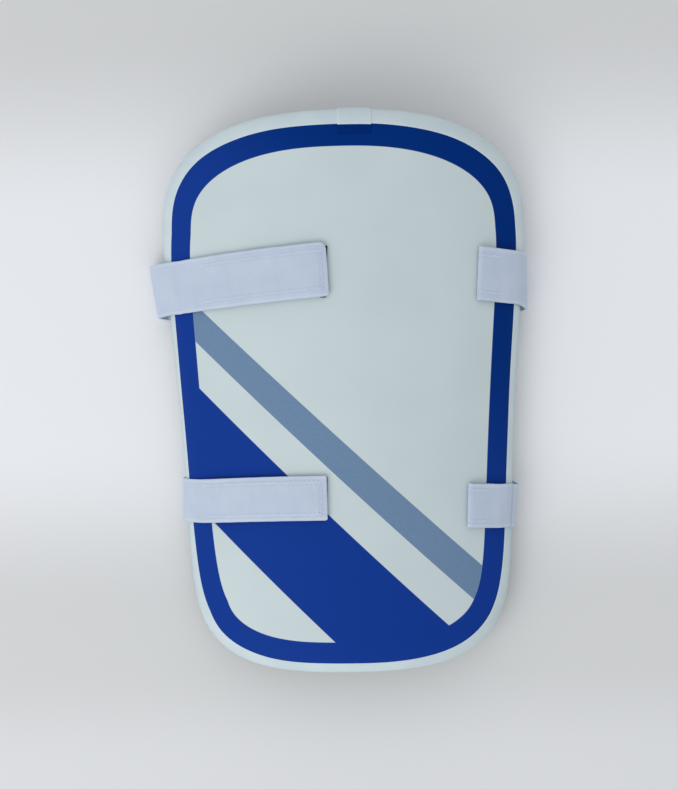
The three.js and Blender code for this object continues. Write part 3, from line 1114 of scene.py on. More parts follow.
@dataclass
class Facing:
    """The moulded front sheet. Its border and stripes are print."""

    form: GuardForm
    finish: FacingFinish = FacingFinish()
    thickness: float = 0.002
    tuck: float = 0.00035
    border_side: float = 0.0181
    border_wide: float = 0.0145
    border_narrow: float = 0.0147
    crease_from: tuple[float, float] = (-0.0084, -0.1679)
    crease_to: tuple[float, float] = (0.0647, -0.1607)
    crease_height: float = 0.00035
    crease_width: float = 0.0011

    def border_width(self, frame: EdgeFrame) -> float:
        """How wide the printed border is at a station.

        Args:
            frame: The station.

        Returns:
            The width along the front.
        """
        sine = math.sin(frame.angle)
        end = self.border_wide if sine > 0 else self.border_narrow
        return self.border_side + sine**4 * (end - self.border_side)

    def crease(self, x: float, y: float) -> float:
        """Height of the faint moulded crease near the narrow end.

        Args:
            x: Place across the guard.
            y: Place along the guard.

        Returns:
            How far it stands out.
        """
        start, end, point = Vector(self.crease_from), Vector(self.crease_to), Vector((x, y))
        line = end - start
        share = (point - start).dot(line) / line.length_squared
        off = (point - start - line * share).length
        fade = smooth_step(share, -0.06, 0.06) * (1 - smooth_step(share, 0.9, 1.1))
        return self.crease_height * fade * math.exp(-((off / self.crease_width) ** 2))

    def build(self) -> bpy.types.Object:
        """Lays the sheet on the front, gives it its thickness and carries the border's chart.

        Returns:
            The piece.
        """
        shell = Shell(self.form)
        points = shell.points(lambda frame: self.form.cover(frame) - self.tuck)
        side = 2 * shell.rings + 1
        sheet = Workshop.sheet("facing_sheet", side, side)

        def place(column: int, row: int) -> Vector:
            x, y, inset, frame = points[row * side + column]
            if inset < self.form.shoulder_run:
                entry = self.form.shoulder_at(inset)
                return self.form.at(frame, Entry(inset, entry.height + self.crease(x, y)))
            return self.form.on_front(x, y, self.crease(x, y))

        def border(vertex: bpy.types.MeshVertex) -> float:
            column, row = Workshop.cell(vertex, side, side)
            _, _, inset, frame = points[row * side + column]
            return (inset - self.form.cover(frame)) / self.border_width(frame)

        Workshop.mark(sheet, "border", border)
        Workshop.lay(sheet, place, side, side)
        Workshop.modify(sheet, "SOLIDIFY", thickness=self.thickness, offset=-1.0)
        Workshop.smooth(sheet)
        Workshop.dress(sheet, self.finish.material(self.form.origin), "facing", "facing")
        return sheet


@dataclass
class Pad:
    """The foam pad: arched, hollow on its back where the thigh goes, and firm."""

    form: GuardForm
    finish: LiningFinish = LiningFinish()
    under_facing: float = 0.0023
    under_binding: float = 0.0019
    back_cover: float = 0.0106
    gap: float = 0.0003
    ripple: float = 0.00025
    rings: int = 40

    def back_depth(self, share: float) -> float:
        """Depth of the back under the front.

        Args:
            share: 0 where the edge's profile ends and 1 in the middle.

        Returns:
            The depth.
        """
        form = self.form
        swell = math.sin(share * math.pi / 2)
        return form.edge_thickness + (form.pad_thickness - form.edge_thickness) * swell

    def edge_profile(self, frame: EdgeFrame) -> list[Entry]:
        """The profile round the edge under the binding, from front to back.

        Args:
            frame: The station.

        Returns:
            Its places in order.
        """
        form = self.form
        first = form.shoulder_at(form.cover(frame)).raised(-self.under_facing)
        shoulder = [form.shoulder_facing(d).raised(-self.under_binding) for d in (42, 54, 66, 78, 90)]
        heel = [form.heel_facing(d).raised(-self.under_binding) for d in (90, 112, 135, 158, 180)]
        return [first, *shoulder, *heel, form.back_at(0.010).raised(-self.under_binding)]

    def build(self) -> bpy.types.Object:
        """Makes the pad as one closed body: front, rounded edge and hollow back.

        Returns:
            The piece.
        """
        form = self.form
        shell = Shell(form, rings=self.rings, edge_share=0.3, edge_width=0.024)
        side = 2 * shell.rings + 1
        front_plan = shell.points(lambda frame: form.cover(frame) + self.gap)
        back_plan = shell.points(lambda frame: self.back_cover)
        points: list[Vector] = []
        for x, y, inset, frame in front_plan:
            entry = form.shoulder_at(inset).raised(-self.under_facing)
            edge = inset < form.shoulder_run
            points.append(form.at(frame, entry) if edge else form.on_front(x, y, -self.under_facing))
        for row in range(side):
            for column in range(side):
                x, y, inset, _ = back_plan[row * side + column]
                out, _ = square_ring_point(column, row, shell.rings)
                share = max(0.0, 1 - out / (1 - shell.edge_share))
                ripple = self.ripple * math.sin(x * 130) * math.sin(y * 95) * min(1.0, share * 3)
                points.append(form.on_front(x, y, -self.back_depth(share) + ripple))
        profiles = [self.edge_profile(frame) for frame in shell.frames]
        ring_start = len(points)
        depth = len(profiles[0])
        for level in range(depth):
            points += [form.at(frame, profile[level]) for frame, profile in zip(shell.frames, profiles)]
        pad = Workshop.solid("foam_pad", points, self.faces(side, ring_start, depth, len(shell.frames)))
        Workshop.smooth(pad, 60)
        Workshop.dress(pad, self.finish.material(), "foam", "pad")
        return pad

    def faces(self, side: int, ring_start: int, depth: int, count: int) -> list[tuple[int, ...]]:
        """The pad's faces: both grids, and the bands between the rings round the edge.

        Args:
            side: Points along one side of a grid.
            ring_start: Index of the edge's first point.
            depth: How many rings the edge has.
            count: Points on one ring.

        Returns:
            Each face's points.
        """
        rim = self.rim_order(side)
        faces: list[tuple[int, ...]] = []
        for start in (0, side * side):
            for row in range(side - 1):
                for column in range(side - 1):
                    a = start + row * side + column
                    faces.append((a, a + 1, a + side + 1, a + side))
        rings = [[row * side + column for column, row in rim]]
        rings += [[ring_start + level * count + i for i in range(count)] for level in range(depth)]
        rings.append([side * side + row * side + column for column, row in rim])
        for near, far in zip(rings, rings[1:]):
            for i in range(count):
                after = (i + 1) % count
                faces.append((near[i], near[after], far[after], far[i]))
        return faces

    @staticmethod
    def rim_order(side: int) -> list[tuple[int, int]]:
        """The outermost points of a square grid in the order of the stations.

        Args:
            side: Points along one side of the grid.

        Returns:
            Column and row of each, from the middle of the far side, counter-clockwise.
        """
        last, half = side - 1, (side - 1) // 2
        top = [(column, last) for column in range(half, 0, -1)]
        left = [(0, row) for row in range(last, 0, -1)]
        bottom = [(column, 0) for column in range(0, last)]
        right = [(last, row) for row in range(0, last)]
        return top + left + bottom + right + [(column, last) for column in range(last, half, -1)]


@dataclass
class Binding:
    """The white tape that wraps the edge."""

    form: GuardForm
    finish: BindingFinish = BindingFinish()
    thickness: float = 0.0016
    back_cover: float = 0.010
    stand: float = 0.0004
    lip_back: float = 0.0006
    lip: tuple[tuple[float, float], ...] = (
        (-0.0006, 0.00004), (0.0, 0.00006), (0.00005, 0.0002), (-0.00015, 0.00034), (-0.0005, 0.0004)
    )
    shoulder_from: float = 0.0012
    crease_degrees: float = 66.0
    crease_depth: float = 0.00022
    turn_shade_from: tuple[float, float] = (0.05, 0.42)
    station_count: int = 640

    def outer_profile(self, frame: EdgeFrame, turn: float) -> list[Entry]:
        """The tape's outer side, from its lip on the front to its end on the back.

        Args:
            frame: The station.
            turn: How far round the guard the station is, for the tape's slight unevenness.

        Returns:
            Places in order.
        """
        form = self.form
        cover = form.cover(frame) + self.waver(turn)
        first = form.shoulder_at(cover - self.shoulder_from)
        start = math.degrees(math.atan2(first.sideways, first.upward))
        profile = [form.shoulder_at(cover + further).raised(lift) for further, lift in self.lip]
        for degrees in spaced(start, 90, 4.0)[:-1]:
            fade = 1 - smooth_step(degrees, 45, 80)
            notch = math.exp(-(((degrees - self.crease_degrees) / 3.2) ** 2))
            lift = self.stand * fade - self.crease_depth * notch
            profile.append(form.shoulder_facing(degrees).raised(lift))
        profile += [form.heel_facing(d) for d in spaced(90, 180, 10.0)]
        return [*profile, form.back_at(0.0075), form.back_at(self.back_cover)]

    def waver(self, turn: float) -> float:
        """How far the tape's edge strays at a share of the way round."""
        angle = 2 * math.pi * turn
        return 0.00012 * math.sin(7 * angle + 0.6) + 0.00008 * math.sin(19 * angle)

    def build(self) -> bpy.types.Object:
        """Makes the tape as one closed hoop.

        Returns:
            The piece.
        """
        form, count = self.form, self.station_count
        frames = form.stations(count)
        profiles = [self.outer_profile(frame, i / count) for i, frame in enumerate(frames)]
        fewest = min(len(profile) for profile in profiles)
        points: list[Vector] = []
        for frame, profile in zip(frames, profiles):
            outer = self.evened(profile, fewest)
            lip = form.shoulder_at(form.cover(frame) - self.lip_back)
            inner = [lip.raised(-self.thickness)]
            inner += [entry.raised(-self.thickness) for entry in outer[len(self.lip):]]
            points += [form.at(frame, entry) for entry in outer]
            points += [form.at(frame, entry) for entry in reversed(inner)]
        sides = len(points) // count
        faces = []
        for k in range(count):
            here, there = k * sides, ((k + 1) % count) * sides
            for s in range(sides):
                after = (s + 1) % sides
                faces.append((here + s, there + s, there + after, here + after))
        tape = Workshop.solid("binding_tape", points, faces)
        Workshop.smooth(tape, 50)
        # Painted shade: the tape darkens where it faces sideways and down towards the floor.
        Workshop.mark(tape, "turned", lambda vertex: 1 - smooth_step(vertex.normal.z, *self.turn_shade_from))
        Workshop.dress(tape, self.finish.material("binding_tape", False), "binding", "edge_binding")
        return tape

    @staticmethod
    def evened(profile: list[Entry], count: int) -> list[Entry]:
        """Drops places from the shoulder until a profile has a given number.

        Args:
            profile: Places in order.
            count: How many to keep.

        Returns:
            The shorter profile.
        """
        kept = list(profile)
        while len(kept) > count:
            del kept[8]
        return kept


@dataclass
class Lap:
    """The patch where the tape's ends lap, near the middle of the wide end."""

    form: GuardForm
    finish: BindingFinish = BindingFinish()
    across: float = 0.0855
    width: float = 0.0224
    reach: float = 0.0063
    thickness: float = 0.00045
    white_reach: float = 0.0007
    fold_highlight_width: float = 0.0012
    over_print: float = 0.00008
    over_tape: float = 0.00045
    puff: float = 0.00006
    rounding: float = 0.00022

    def build(self) -> bpy.types.Object:
        """Lays the patch over the tape and on to the printed border.

        Returns:
            The piece.
        """
        form = self.form
        cover = form.cover_wide
        columns, places = 29, []
        for inset in spaced(cover + self.reach, cover + 0.0008, 0.0008):
            places.append((form.shoulder_at(inset), self.over_print, inset > cover + self.white_reach))
        for inset in spaced(cover + 0.0005, cover - 0.0010, 0.0005):
            rise = smooth_step(cover + 0.0008 - inset, 0.0, 0.001)
            places.append((form.shoulder_at(inset), mix(0.0001, self.over_tape, rise), False))
        start = form.shoulder_at(cover - 0.0012)
        first = math.degrees(math.atan2(start.sideways, start.upward))
        for degrees in spaced(first + 4, 88, 5.0):
            fade = 1 - smooth_step(degrees, 45, 80)
            places.append((form.shoulder_facing(degrees), mix(0.00015, self.over_tape, fade), False))
        rows = len(places)
        patch = Workshop.sheet("binding_lap_patch", columns, rows)

        def printed(vertex: bpy.types.MeshVertex) -> float:
            _, row = Workshop.cell(vertex, columns, rows)
            return 1.0 if places[row][2] else 0.0

        # Painted highlight: both folded sides of the lap are made paler.
        def fold(vertex: bpy.types.MeshVertex) -> float:
            return 1 - smooth_step((0.5 - abs(vertex.co.x)) * self.width, 0.0, self.fold_highlight_width)

        Workshop.mark(patch, "printed", printed)
        Workshop.mark(patch, "fold", fold)
        middle = self.across * form.mid_width / 2
        shares = [i / (columns - 1) - 0.5 for i in range(columns)]
        frames = [form.crown_frame(middle + share * self.width) for share in shares]

        def place(column: int, row: int) -> Vector:
            entry, lift, _ = places[row]
            puff = self.puff * math.sin(math.pi * column / (columns - 1))
            return form.at(frames[column], entry.raised(lift + puff + self.thickness / 2))

        Workshop.lay(patch, place, columns, rows)
        Workshop.modify(patch, "SOLIDIFY", thickness=self.thickness, offset=0.0)
        Workshop.round_edges(patch, self.rounding, 0.7)
        Workshop.smooth(patch, 50)
        Workshop.dress(patch, self.finish.material("binding_lap", True), "binding", "binding_lap")
        return patch


@dataclass(frozen=True)
class EdgeTurn:
    """How a strap goes round one long side: where, how slack, and how it leans along the guard."""

    along: float
    slack_high: float
    slack_low: float
    lean_side: float
    lean_under: float

    def lean(self, degrees: float, last: float) -> float:
        """How far the strap has strayed along the guard at a turn round the edge.

        Args:
            degrees: The turn, 0 on the front.
            last: The turn where the strap comes to the underside.

        Returns:
            The distance towards the wide end.
        """
        side = smooth_step(degrees, 0, 55)
        under = smooth_step(degrees, 60, last)
        return self.lean_side * side + (self.lean_under - self.lean_side) * under

    def slack(self, share: float, degrees: float, last: float) -> float:
        """How far the strap bows out from the edge.

        Args:
            share: Place across the strap, from -0.5 to 0.5 at the edge nearer the wide end.
            degrees: The turn, 0 on the front.
            last: The turn where the strap comes to the underside.

        Returns:
            The distance.
        """
        return mix(self.slack_low, self.slack_high, share + 0.5) * math.sin(math.pi * degrees / last) ** 2


class Ribbon:
    """A band laid through the air: rows of points along it, columns across it."""

    def __init__(self, lines: Sequence[Sequence[Vector]], across: Sequence[float], step: float) -> None:
        """Resamples each line across the band to the same number of rows.

        Args:
            lines: For each column, the points that it runs through.
            across: For each column, its distance from the band's middle line.
            step: About how far apart the rows are.
        """
        self.across = list(across)
        lengths = [self.length_of(line) for line in lines]
        self.length = sum(lengths) / len(lengths)
        self.rows = max(8, round(self.length / step))
        self.grid = np.stack([self.resampled(line, self.rows) for line in lines], axis=1)

    @staticmethod
    def length_of(line: Sequence[Vector]) -> float:
        """Length of a line of points."""
        return sum((b - a).length for a, b in zip(line, line[1:]))

    @staticmethod
    def resampled(line: Sequence[Vector], count: int) -> np.ndarray:
        """Runs a smooth curve through points and spaces new ones evenly on it.

        Args:
            line: The points.
            count: How many new ones.

        Returns:
            The new points, one a row.
        """
        points = np.array(line)
        steps = np.linalg.norm(np.diff(points, axis=0), axis=1)
        travelled = np.concatenate([[0.0], np.cumsum(steps)])
        slopes = np.empty_like(points)
        slopes[1:-1] = (points[2:] - points[:-2]) / (travelled[2:] - travelled[:-2])[:, None]
        slopes[0] = (points[1] - points[0]) / steps[0]
        slopes[-1] = (points[-1] - points[-2]) / steps[-1]
        targets = np.linspace(0.0, travelled[-1], count)
        before = np.clip(np.searchsorted(travelled, targets, side="right") - 1, 0, len(steps) - 1)
        width = steps[before][:, None]
        share = ((targets - travelled[before]) / steps[before])[:, None]
        square, cube = share**2, share**3
        return (
            (2 * cube - 3 * square + 1) * points[before]
            + (cube - 2 * square + share) * width * slopes[before]
            + (3 * square - 2 * cube) * points[before + 1]
            + (cube - square) * width * slopes[before + 1]
        )

    def normals(self) -> np.ndarray:
        """The way the band's outer side faces at each point."""
        along = np.gradient(self.grid, axis=0)
        sideways = np.gradient(self.grid, axis=1)
        normal = np.cross(sideways, along)
        return normal / np.linalg.norm(normal, axis=2, keepdims=True)

    def lift(self, heights: np.ndarray) -> None:
        """Moves every point out along its normal.

        Args:
            heights: How far, for each row and column.
        """
        self.grid = self.grid + self.normals() * heights[:, :, None]

    def at(self, along: float, across: float) -> tuple[Vector, Vector]:
        """A place on the band's middle surface.

        Args:
            along: Distance from its first end.
            across: Distance from its middle line.

        Returns:
            The point and the way the outer side faces.
        """
        row = min(max(along / self.length * (self.rows - 1), 1.0), self.rows - 2.001)
        r, f = int(row), row - int(row)
        c = int(np.searchsorted(self.across, across)) - 1
        c = min(max(c, 0), len(self.across) - 2)
        g = (across - self.across[c]) / (self.across[c + 1] - self.across[c])
        near = self.grid[r, c] * (1 - g) + self.grid[r, c + 1] * g
        far = self.grid[r + 1, c] * (1 - g) + self.grid[r + 1, c + 1] * g
        sideways = Vector(self.grid[r, c + 1] - self.grid[r, c])
        tangent = Vector(far - near).normalized()
        return Vector(near * (1 - f) + far * f), sideways.cross(tangent).normalized()


@dataclass
class Strap:
    """An elastic strap: folded and sewn on the right, behind the guard, hooked on the left."""

    form: GuardForm
    name: str
    width: float
    free_end_across: float
    free_end_along: float
    fold_across: float
    fold_along: float
    fold_slant: float
    left: EdgeTurn
    right: EdgeTurn
    hook_end_inset: float
    hook_shift: float
    hook_overhang: tuple[float, float]
    loop_end_inset: float
    corner_high: float
    corner_low: float
    free_end_slant: float = 0.0
    bow: float = 0.0
    seam_inset: float = 0.0045
    folded_under: float = 0.017
    thickness: float = 0.0015
    cad_thickness: float = 0.0018
    hook_thickness: float = 0.0009
    loop_thickness: float = 0.0009
    hook_narrower: float = 0.002
    loop_narrower: float = 0.0065
    loop_inset: float = 0.006
    ramp: float = 0.010
    gap: float = 0.0003
    floor_turn: float = 0.008
    row_step: float = 0.0014
    end_seam: float = 0.0042
    end_droop: float = 0.005
    edge_droop: float = 0.0011
    edge_droop_width: float = 0.0045
    seam_depth: float = 0.00008
    seam_reach: float = 0.0009
    selvage_inset: float = 0.0014
    selvage_reach: float = 0.0009
    wave_height: float = 0.00010
    wave_length: float = 0.031
    wave_start: float = 5.0
    ripple_height: float = 0.00006
    ripple_length: float = 0.011
    crease_back: float = 0.0
    crease_depth: float = 0.0004
    crease_reach: float = 0.0015
    fold_shade: float = 0.0018
    tape_seam: float = 0.084
    fold_seam: float = 0.020

    @property
    def free_end_x(self) -> float:
        """Place across the guard of the free end."""
        return self.free_end_across * self.form.mid_width / 2

    @property
    def shoulder_start_x(self) -> float:
        """Place across the guard where the strap leaves the front for the left edge."""
        frame = self.form.side_frame(Side.LEFT, self.left.along * self.form.half_length)
        return frame.x - frame.out_x * self.form.shoulder_run

    @property
    def hook_end_x(self) -> float:
        """Place across the guard where the hook tape ends."""
        return self.shoulder_start_x + self.hook_end_inset

    @property
    def loop_end_x(self) -> float:
        """Place across the guard where the loop patch ends."""
        return self.shoulder_start_x + self.loop_end_inset

    def left_y(self, x: float) -> float:
        """Place along the guard of the strap's middle on the left stretch."""
        share = (x - self.shoulder_start_x) / (self.free_end_x - self.shoulder_start_x)
        bow = self.bow * math.sin(math.pi * min(max(share, 0.0), 1.0))
        return self.form.half_length * mix(self.left.along, self.free_end_along, share) + bow

    def lifted(self, amount: float, x: float, end_x: float) -> float:
        """How far a layer is lifted by one that ends at a place under it."""
        return amount * smooth_step(x, end_x - self.ramp, end_x)

    def loop_lift(self, x: float) -> float:
        """How far the loop patch lifts what lies on it, up to where the free end droops past it."""
        end = self.free_end_x - self.loop_inset
        lift = self.lifted(self.loop_thickness + self.gap, x, self.loop_end_x)
        return lift * (1 - smooth_step(x, end, end + self.end_droop))

    def droop(self, x: float, across: float) -> float:
        """How far a long edge droops beside the loop patch.

        Args:
            x: Place across the guard.
            across: Distance from the strap's middle line.

        Returns:
            The drop.
        """
        half = self.width / 2
        share = smooth_step(abs(across), half - self.edge_droop_width, half)
        return self.edge_droop * share * self.loop_lift(x) / (self.loop_thickness + self.gap)

    def hook_under(self, x: float) -> float:
        """Height of the hook tape's under side over the front."""
        return self.gap + self.loop_lift(x)

    def strap_under(self, x: float) -> float:
        """Height of the strap's under side over the front."""
        return self.hook_under(x) + self.lifted(self.hook_thickness + self.gap, x, self.hook_end_x)

    def wrap(self, side: Side, across: float, lift: float) -> list[Vector]:
        """The middle line of the strap round one edge, from the front to the underside.

        Args:
            side: The long side.
            across: Distance from the strap's middle line, towards the wide end.
            lift: How far the fold lifts it where it leaves the front.

        Returns:
            Points in order.
        """
        form, turn = self.form, self.left if side is Side.LEFT else self.right
        y = turn.along * form.half_length + across
        frame = form.side_frame(side, y)
        last = 180 - math.degrees(math.acos(form.front_normal(frame.x, frame.y).z))
        places = [(d, form.shoulder_facing(d)) for d in (0, 10, 22, 36, 52, 70, 90)]
        places += [(d, form.heel_facing(d)) for d in spaced(90, last, 18.0)]
        points = []
        for degrees, entry in places:
            frame = form.frame_over(side, y + turn.lean(degrees, last), entry.inset)
            raised = self.gap + self.cad_thickness / 2 + lift * (1 - smooth_step(degrees, 0, 30))
            raised += turn.slack(across / self.width, degrees, last)
            points.append(form.at(frame, entry.raised(raised)))
        return points

    def floor_point(self, side: Side, across: float, edge: Vector) -> Vector:
        """Where the strap comes to lie flat on the floor.

        Args:
            side: The long side that it comes from.
            across: Distance from the strap's middle line.
            edge: Where it leaves the edge.

        Returns:
            The point.
        """
        turn = self.left if side is Side.LEFT else self.right
        y = self.form.origin.y + turn.along * self.form.half_length + turn.lean_under + across
        return Vector((edge.x - side.value * self.floor_turn, y, self.cad_thickness / 2))

    def fold_point(self, across: float, back: float, height: float) -> Vector:
        """A point of the folded end on the right.

        Args:
            across: Distance from the strap's middle line.
            back: Distance back from the fold towards the edge, below 0 past the fold.
            height: Height over the front.

        Returns:
            The point.
        """
        form = self.form
        start_y = self.right.along * form.half_length + across
        frame = form.frame_over(Side.RIGHT, start_y, form.shoulder_run)
        start_x = frame.x - frame.out_x * form.shoulder_run
        end_x = self.fold_across * form.mid_width / 2 + self.fold_slant * across
        share = 1 - back / (start_x - end_x)
        end_y = self.fold_along * form.half_length + across
        return form.on_front(mix(start_x, end_x, share), mix(start_y, end_y, share), height)

    @property
    def fold_length(self) -> float:
        """How far the fold lies from where the strap comes on to the front."""
        frame = self.form.side_frame(Side.RIGHT, self.right.along * self.form.half_length)
        return frame.x - frame.out_x * self.form.shoulder_run - self.fold_across * self.form.mid_width / 2

    def corner_cut(self, across: float) -> float:
        """How far the free end falls back at a place across it, where its corners are rounded.

        Args:
            across: Distance from the strap's middle line.

        Returns:
            The distance back from the end.
        """
        radius = self.corner_high if across > 0 else self.corner_low
        into = radius - (self.width / 2 - abs(across))
        return 0.0 if into <= 0 else radius - math.sqrt(max(radius * radius - into * into, 0.0))

    def line(self, across: float) -> list[Vector]:
        """The middle line of the strap's thickness at one place across it.

        Args:
            across: Distance from the strap's middle line, towards the wide end.

        Returns:
            Points from the free end to the tucked end.
        """
        form, half = self.form, self.cad_thickness / 2
        end_x = self.free_end_x - self.free_end_slant * across - self.corner_cut(across)
        points = []
        for x in spaced(end_x, self.shoulder_start_x, 0.003)[:-1]:
            height = self.strap_under(x) + half - self.droop(x, across)
            points.append(form.on_front(x, self.left_y(x) + across, height))
        left = self.wrap(Side.LEFT, across, 0.0)
        layer = self.cad_thickness + self.gap
        right = self.wrap(Side.RIGHT, across, layer)
        middle_left = self.floor_point(Side.LEFT, across, left[-1])
        middle_right = self.floor_point(Side.RIGHT, across, right[-1])
        points += [*left, middle_left]
        points += [middle_left.lerp(middle_right, share) for share in (0.12, 0.3, 0.5, 0.7, 0.88)]
        points += [middle_right, *reversed(right)]
        for back in spaced(self.fold_length, 0.001, 0.004)[1:]:
            points.append(self.fold_point(across, back, self.gap + layer + half))
        radius = half + self.gap / 2
        centre = self.gap + self.cad_thickness + self.gap / 2
        for degrees in (30, 60, 90, 120, 150):
            turn = math.radians(degrees)
            height = centre + radius * math.cos(turn)
            points.append(self.fold_point(across, -radius * math.sin(turn), height))
        for back in spaced(0.001, self.folded_under, 0.004):
            points.append(self.fold_point(across, back, self.gap + half))
        return points

    def columns(self) -> tuple[list[float], list[float]]:
        """Places across the strap, close together at its firmer edges.

        Returns:
            Distance of each column from the middle line, and how far it stands out.
        """
        selvage = [(0.0, -0.00008), (0.0005, 0.0), (0.0011, 0.00005), (0.0017, 0.00003), (0.0023, -0.00003)]
        selvage += [(self.seam_inset + off, 0.0) for off in (-0.0014, -0.0007, 0.0, 0.0007)]
        half = self.width / 2
        inner = spaced(-half + self.seam_inset + 0.0014, half - self.seam_inset - 0.0014, 0.0024)
        places = [-half + d for d, _ in selvage] + inner + [half - d for d, _ in reversed(selvage)]
        lifts = [lift for _, lift in selvage] + [0.0] * len(inner) + [lift for _, lift in reversed(selvage)]
        return places, lifts

    def ribbon(self) -> Ribbon:
        """Lays the strap's middle surface, with its edges' relief and a slight wave.

        Returns:
            The band.
        """
        places, lifts = self.columns()
        band = Ribbon([self.line(across) for across in places], places, self.row_step)
        along = np.linspace(0.0, band.length, band.rows)[:, None]
        edge = (np.array(places)[None, :] / (self.width / 2)) ** 2
        sign = np.sign(np.array(places))[None, :]
        wave = self.wave_height * np.sin(along * 2 * np.pi / self.wave_length + self.wave_start) * edge
        wave += self.ripple_height * np.sin(along * 2 * np.pi / self.ripple_length + sign) * edge
        runs = along[:, 0]
        seams = np.array([[self.seam(run, across, band.length) for across in places] for run in runs])
        creases = np.array([[self.crease(run, band.length)] for run in runs])
        band.lift(np.array(lifts)[None, :] + wave - self.seam_depth * seams - self.crease_depth * creases)
        band.grid[:, :, 2] = np.maximum(band.grid[:, :, 2], self.cad_thickness / 2)
        return band

    def crease(self, along: float, length: float) -> float:
        """How near a place lies to the crease where the strap leaves the front, from 0 to 1."""
        place = length - self.folded_under - self.crease_back
        return max(0.0, 1 - abs(along - place) / self.crease_reach) if self.crease_back else 0.0

    def seam(self, along: float, across: float, length: float) -> float:
        """How near a place on the strap lies to a sewn row.

        Args:
            along: Distance from the free end.
            across: Distance from the middle line.
            length: The strap's whole length.

        Returns:
            1 on a row and 0 away from it.
        """
        row = self.width / 2 - self.seam_inset
        fold_start = length - self.folded_under - self.fold_seam
        sewn = along < self.tape_seam or fold_start < along < length - self.folded_under
        beside = abs(abs(across) - row) if sewn and along > self.end_seam - 0.0007 else 1.0
        ending = abs(along - self.end_seam) if abs(across) < row else 1.0
        return max(0.0, 1 - min(beside, ending) / self.seam_reach)

    def cloth(
        self, name: str, band: Ribbon, thickness: float, bevel: float, marked: bool = False
    ) -> bpy.types.Object:
        """Makes a band of cloth with thickness, rounded edges and a chart in metres.

        Args:
            name: The piece's name.
            band: Its middle surface.
            thickness: Its thickness.
            bevel: How far its edges are rounded.
            marked: True if it carries the strap's selvages and sewn rows.

        Returns:
            The piece.
        """
        columns, rows = band.rows, len(band.across)
        piece = Workshop.sheet(name, columns, rows)
        chart = piece.data.uv_layers[0]
        chart.name = "weave"
        for loop in piece.data.loops:
            column, row = Workshop.cell(piece.data.vertices[loop.vertex_index], columns, rows)
            chart.data[loop.index].uv = (column / (columns - 1) * band.length, band.across[row])
        if marked:
            self.chart_rows(piece, band)
        Workshop.lay(piece, lambda column, row: Vector(band.grid[column, row]), columns, rows)
        Workshop.modify(piece, "SOLIDIFY", thickness=thickness, offset=0.0)
        Workshop.round_edges(piece, bevel, 0.9)
        Workshop.smooth(piece, 60)
        return piece

    def chart_rows(self, piece: bpy.types.Object, band: Ribbon) -> None:
        """Marks the strap's selvages, whose paler colour is partly a painted highlight, and its sewn rows
        and turns, which get painted shade, on its flat grid.

        Args:
            piece: The grid.
            band: The band that it is to be laid on.
        """
        shade_start = band.length - self.folded_under - self.fold_shade

        def spot(vertex: bpy.types.MeshVertex) -> tuple[float, float]:
            _, row = Workshop.cell(vertex, band.rows, len(band.across))
            return (vertex.co.x + 0.5) * band.length, band.across[row]

        # The selvage's paler line is partly a painted highlight where the edge catches light.
        def selvage(vertex: bpy.types.MeshVertex) -> float:
            inset = self.width / 2 - abs(spot(vertex)[1])
            return max(0.0, 1 - abs(inset - self.selvage_inset) / self.selvage_reach)

        # Painted shade on the folded end's turn, and more faintly along the crease.
        def turned(vertex: bpy.types.MeshVertex) -> float:
            along, _ = spot(vertex)
            folded = smooth_step(along - shade_start, -0.0004, 0.0008)
            return min(folded + 0.6 * self.crease(along, band.length), 1.0)

        Workshop.mark(piece, "selvage", selvage)
        # Painted shade along the sewn rows, beside their groove.
        Workshop.mark(piece, "seam", lambda vertex: self.seam(*spot(vertex), band.length))
        Workshop.mark(piece, "turned", turned)

    def build(self, webbing: bpy.types.Material) -> tuple[bpy.types.Object, Ribbon]:
        """Makes the strap.

        Args:
            webbing: Its finish.

        Returns:
            The piece and its middle surface.
        """
        band = self.ribbon()
        strap = self.cloth(f"{self.name}_webbing", band, self.thickness, 0.0004, marked=True)
        Workshop.dress(strap, webbing, "elastic", f"{self.name}_strap")
        return strap, band

    def layer(
        self,
        kind: str,
        first: Callable[[float], float],
        last_x: float,
        narrower: float,
        shift: float,
        under: Callable[[float, float], float],
        thickness: float,
        material: bpy.types.Material,
    ) -> bpy.types.Object:
        """Makes a flat layer under the strap's left stretch.

        Args:
            kind: What the layer is, for its name and slot.
            first: Gives where it starts across the guard, at a share across its width.
            last_x: Where it ends across the guard.
            narrower: How much narrower than the strap it is.
            shift: How far it lies off the strap's middle line at its first end.
            under: Gives the height of its under side over the front, at a place across the guard
                and a distance from the strap's middle line.
            thickness: Its thickness.
            material: Its finish.

        Returns:
            The piece.
        """
        half = (self.width - narrower) / 2
        places = spaced(-half, half, 0.0022)
        lines = []
        for across in places:
            start = first(across / half)
            line = []
            for x in spaced(start, last_x, 0.002):
                drift = shift * (1 - smooth_step(start - x, 0.001, 0.009))
                foot = self.left_y(x) + across + drift
                height = max(under(x, across), self.gap) + thickness / 2
                line.append(self.form.on_front(x, foot, height))
            lines.append(line)
        band = Ribbon(lines, places, 0.0012)
        piece = self.cloth(f"{self.name}_{kind}", band, thickness * 0.9, 0.0002)
        slot = "hook_tape" if kind == "hooks" else "loop_patch"
        Workshop.dress(piece, material, slot, f"{self.name}_{slot}")
        return piece

    def hooks(self, material: bpy.types.Material) -> bpy.types.Object:
        """Makes the hook tape under the free end, which shows a little past it.

        Args:
            material: Its finish.

        Returns:
            The piece.
        """
        low, high = self.hook_overhang

        def first(share: float) -> float:
            return self.free_end_x + mix(low, high, share / 2 + 0.5)

        def under(x: float, across: float) -> float:
            return self.hook_under(x) - self.droop(x, across)

        return self.layer(
            "hooks", first, self.hook_end_x, self.hook_narrower, self.hook_shift,
            under, self.hook_thickness, material,
        )

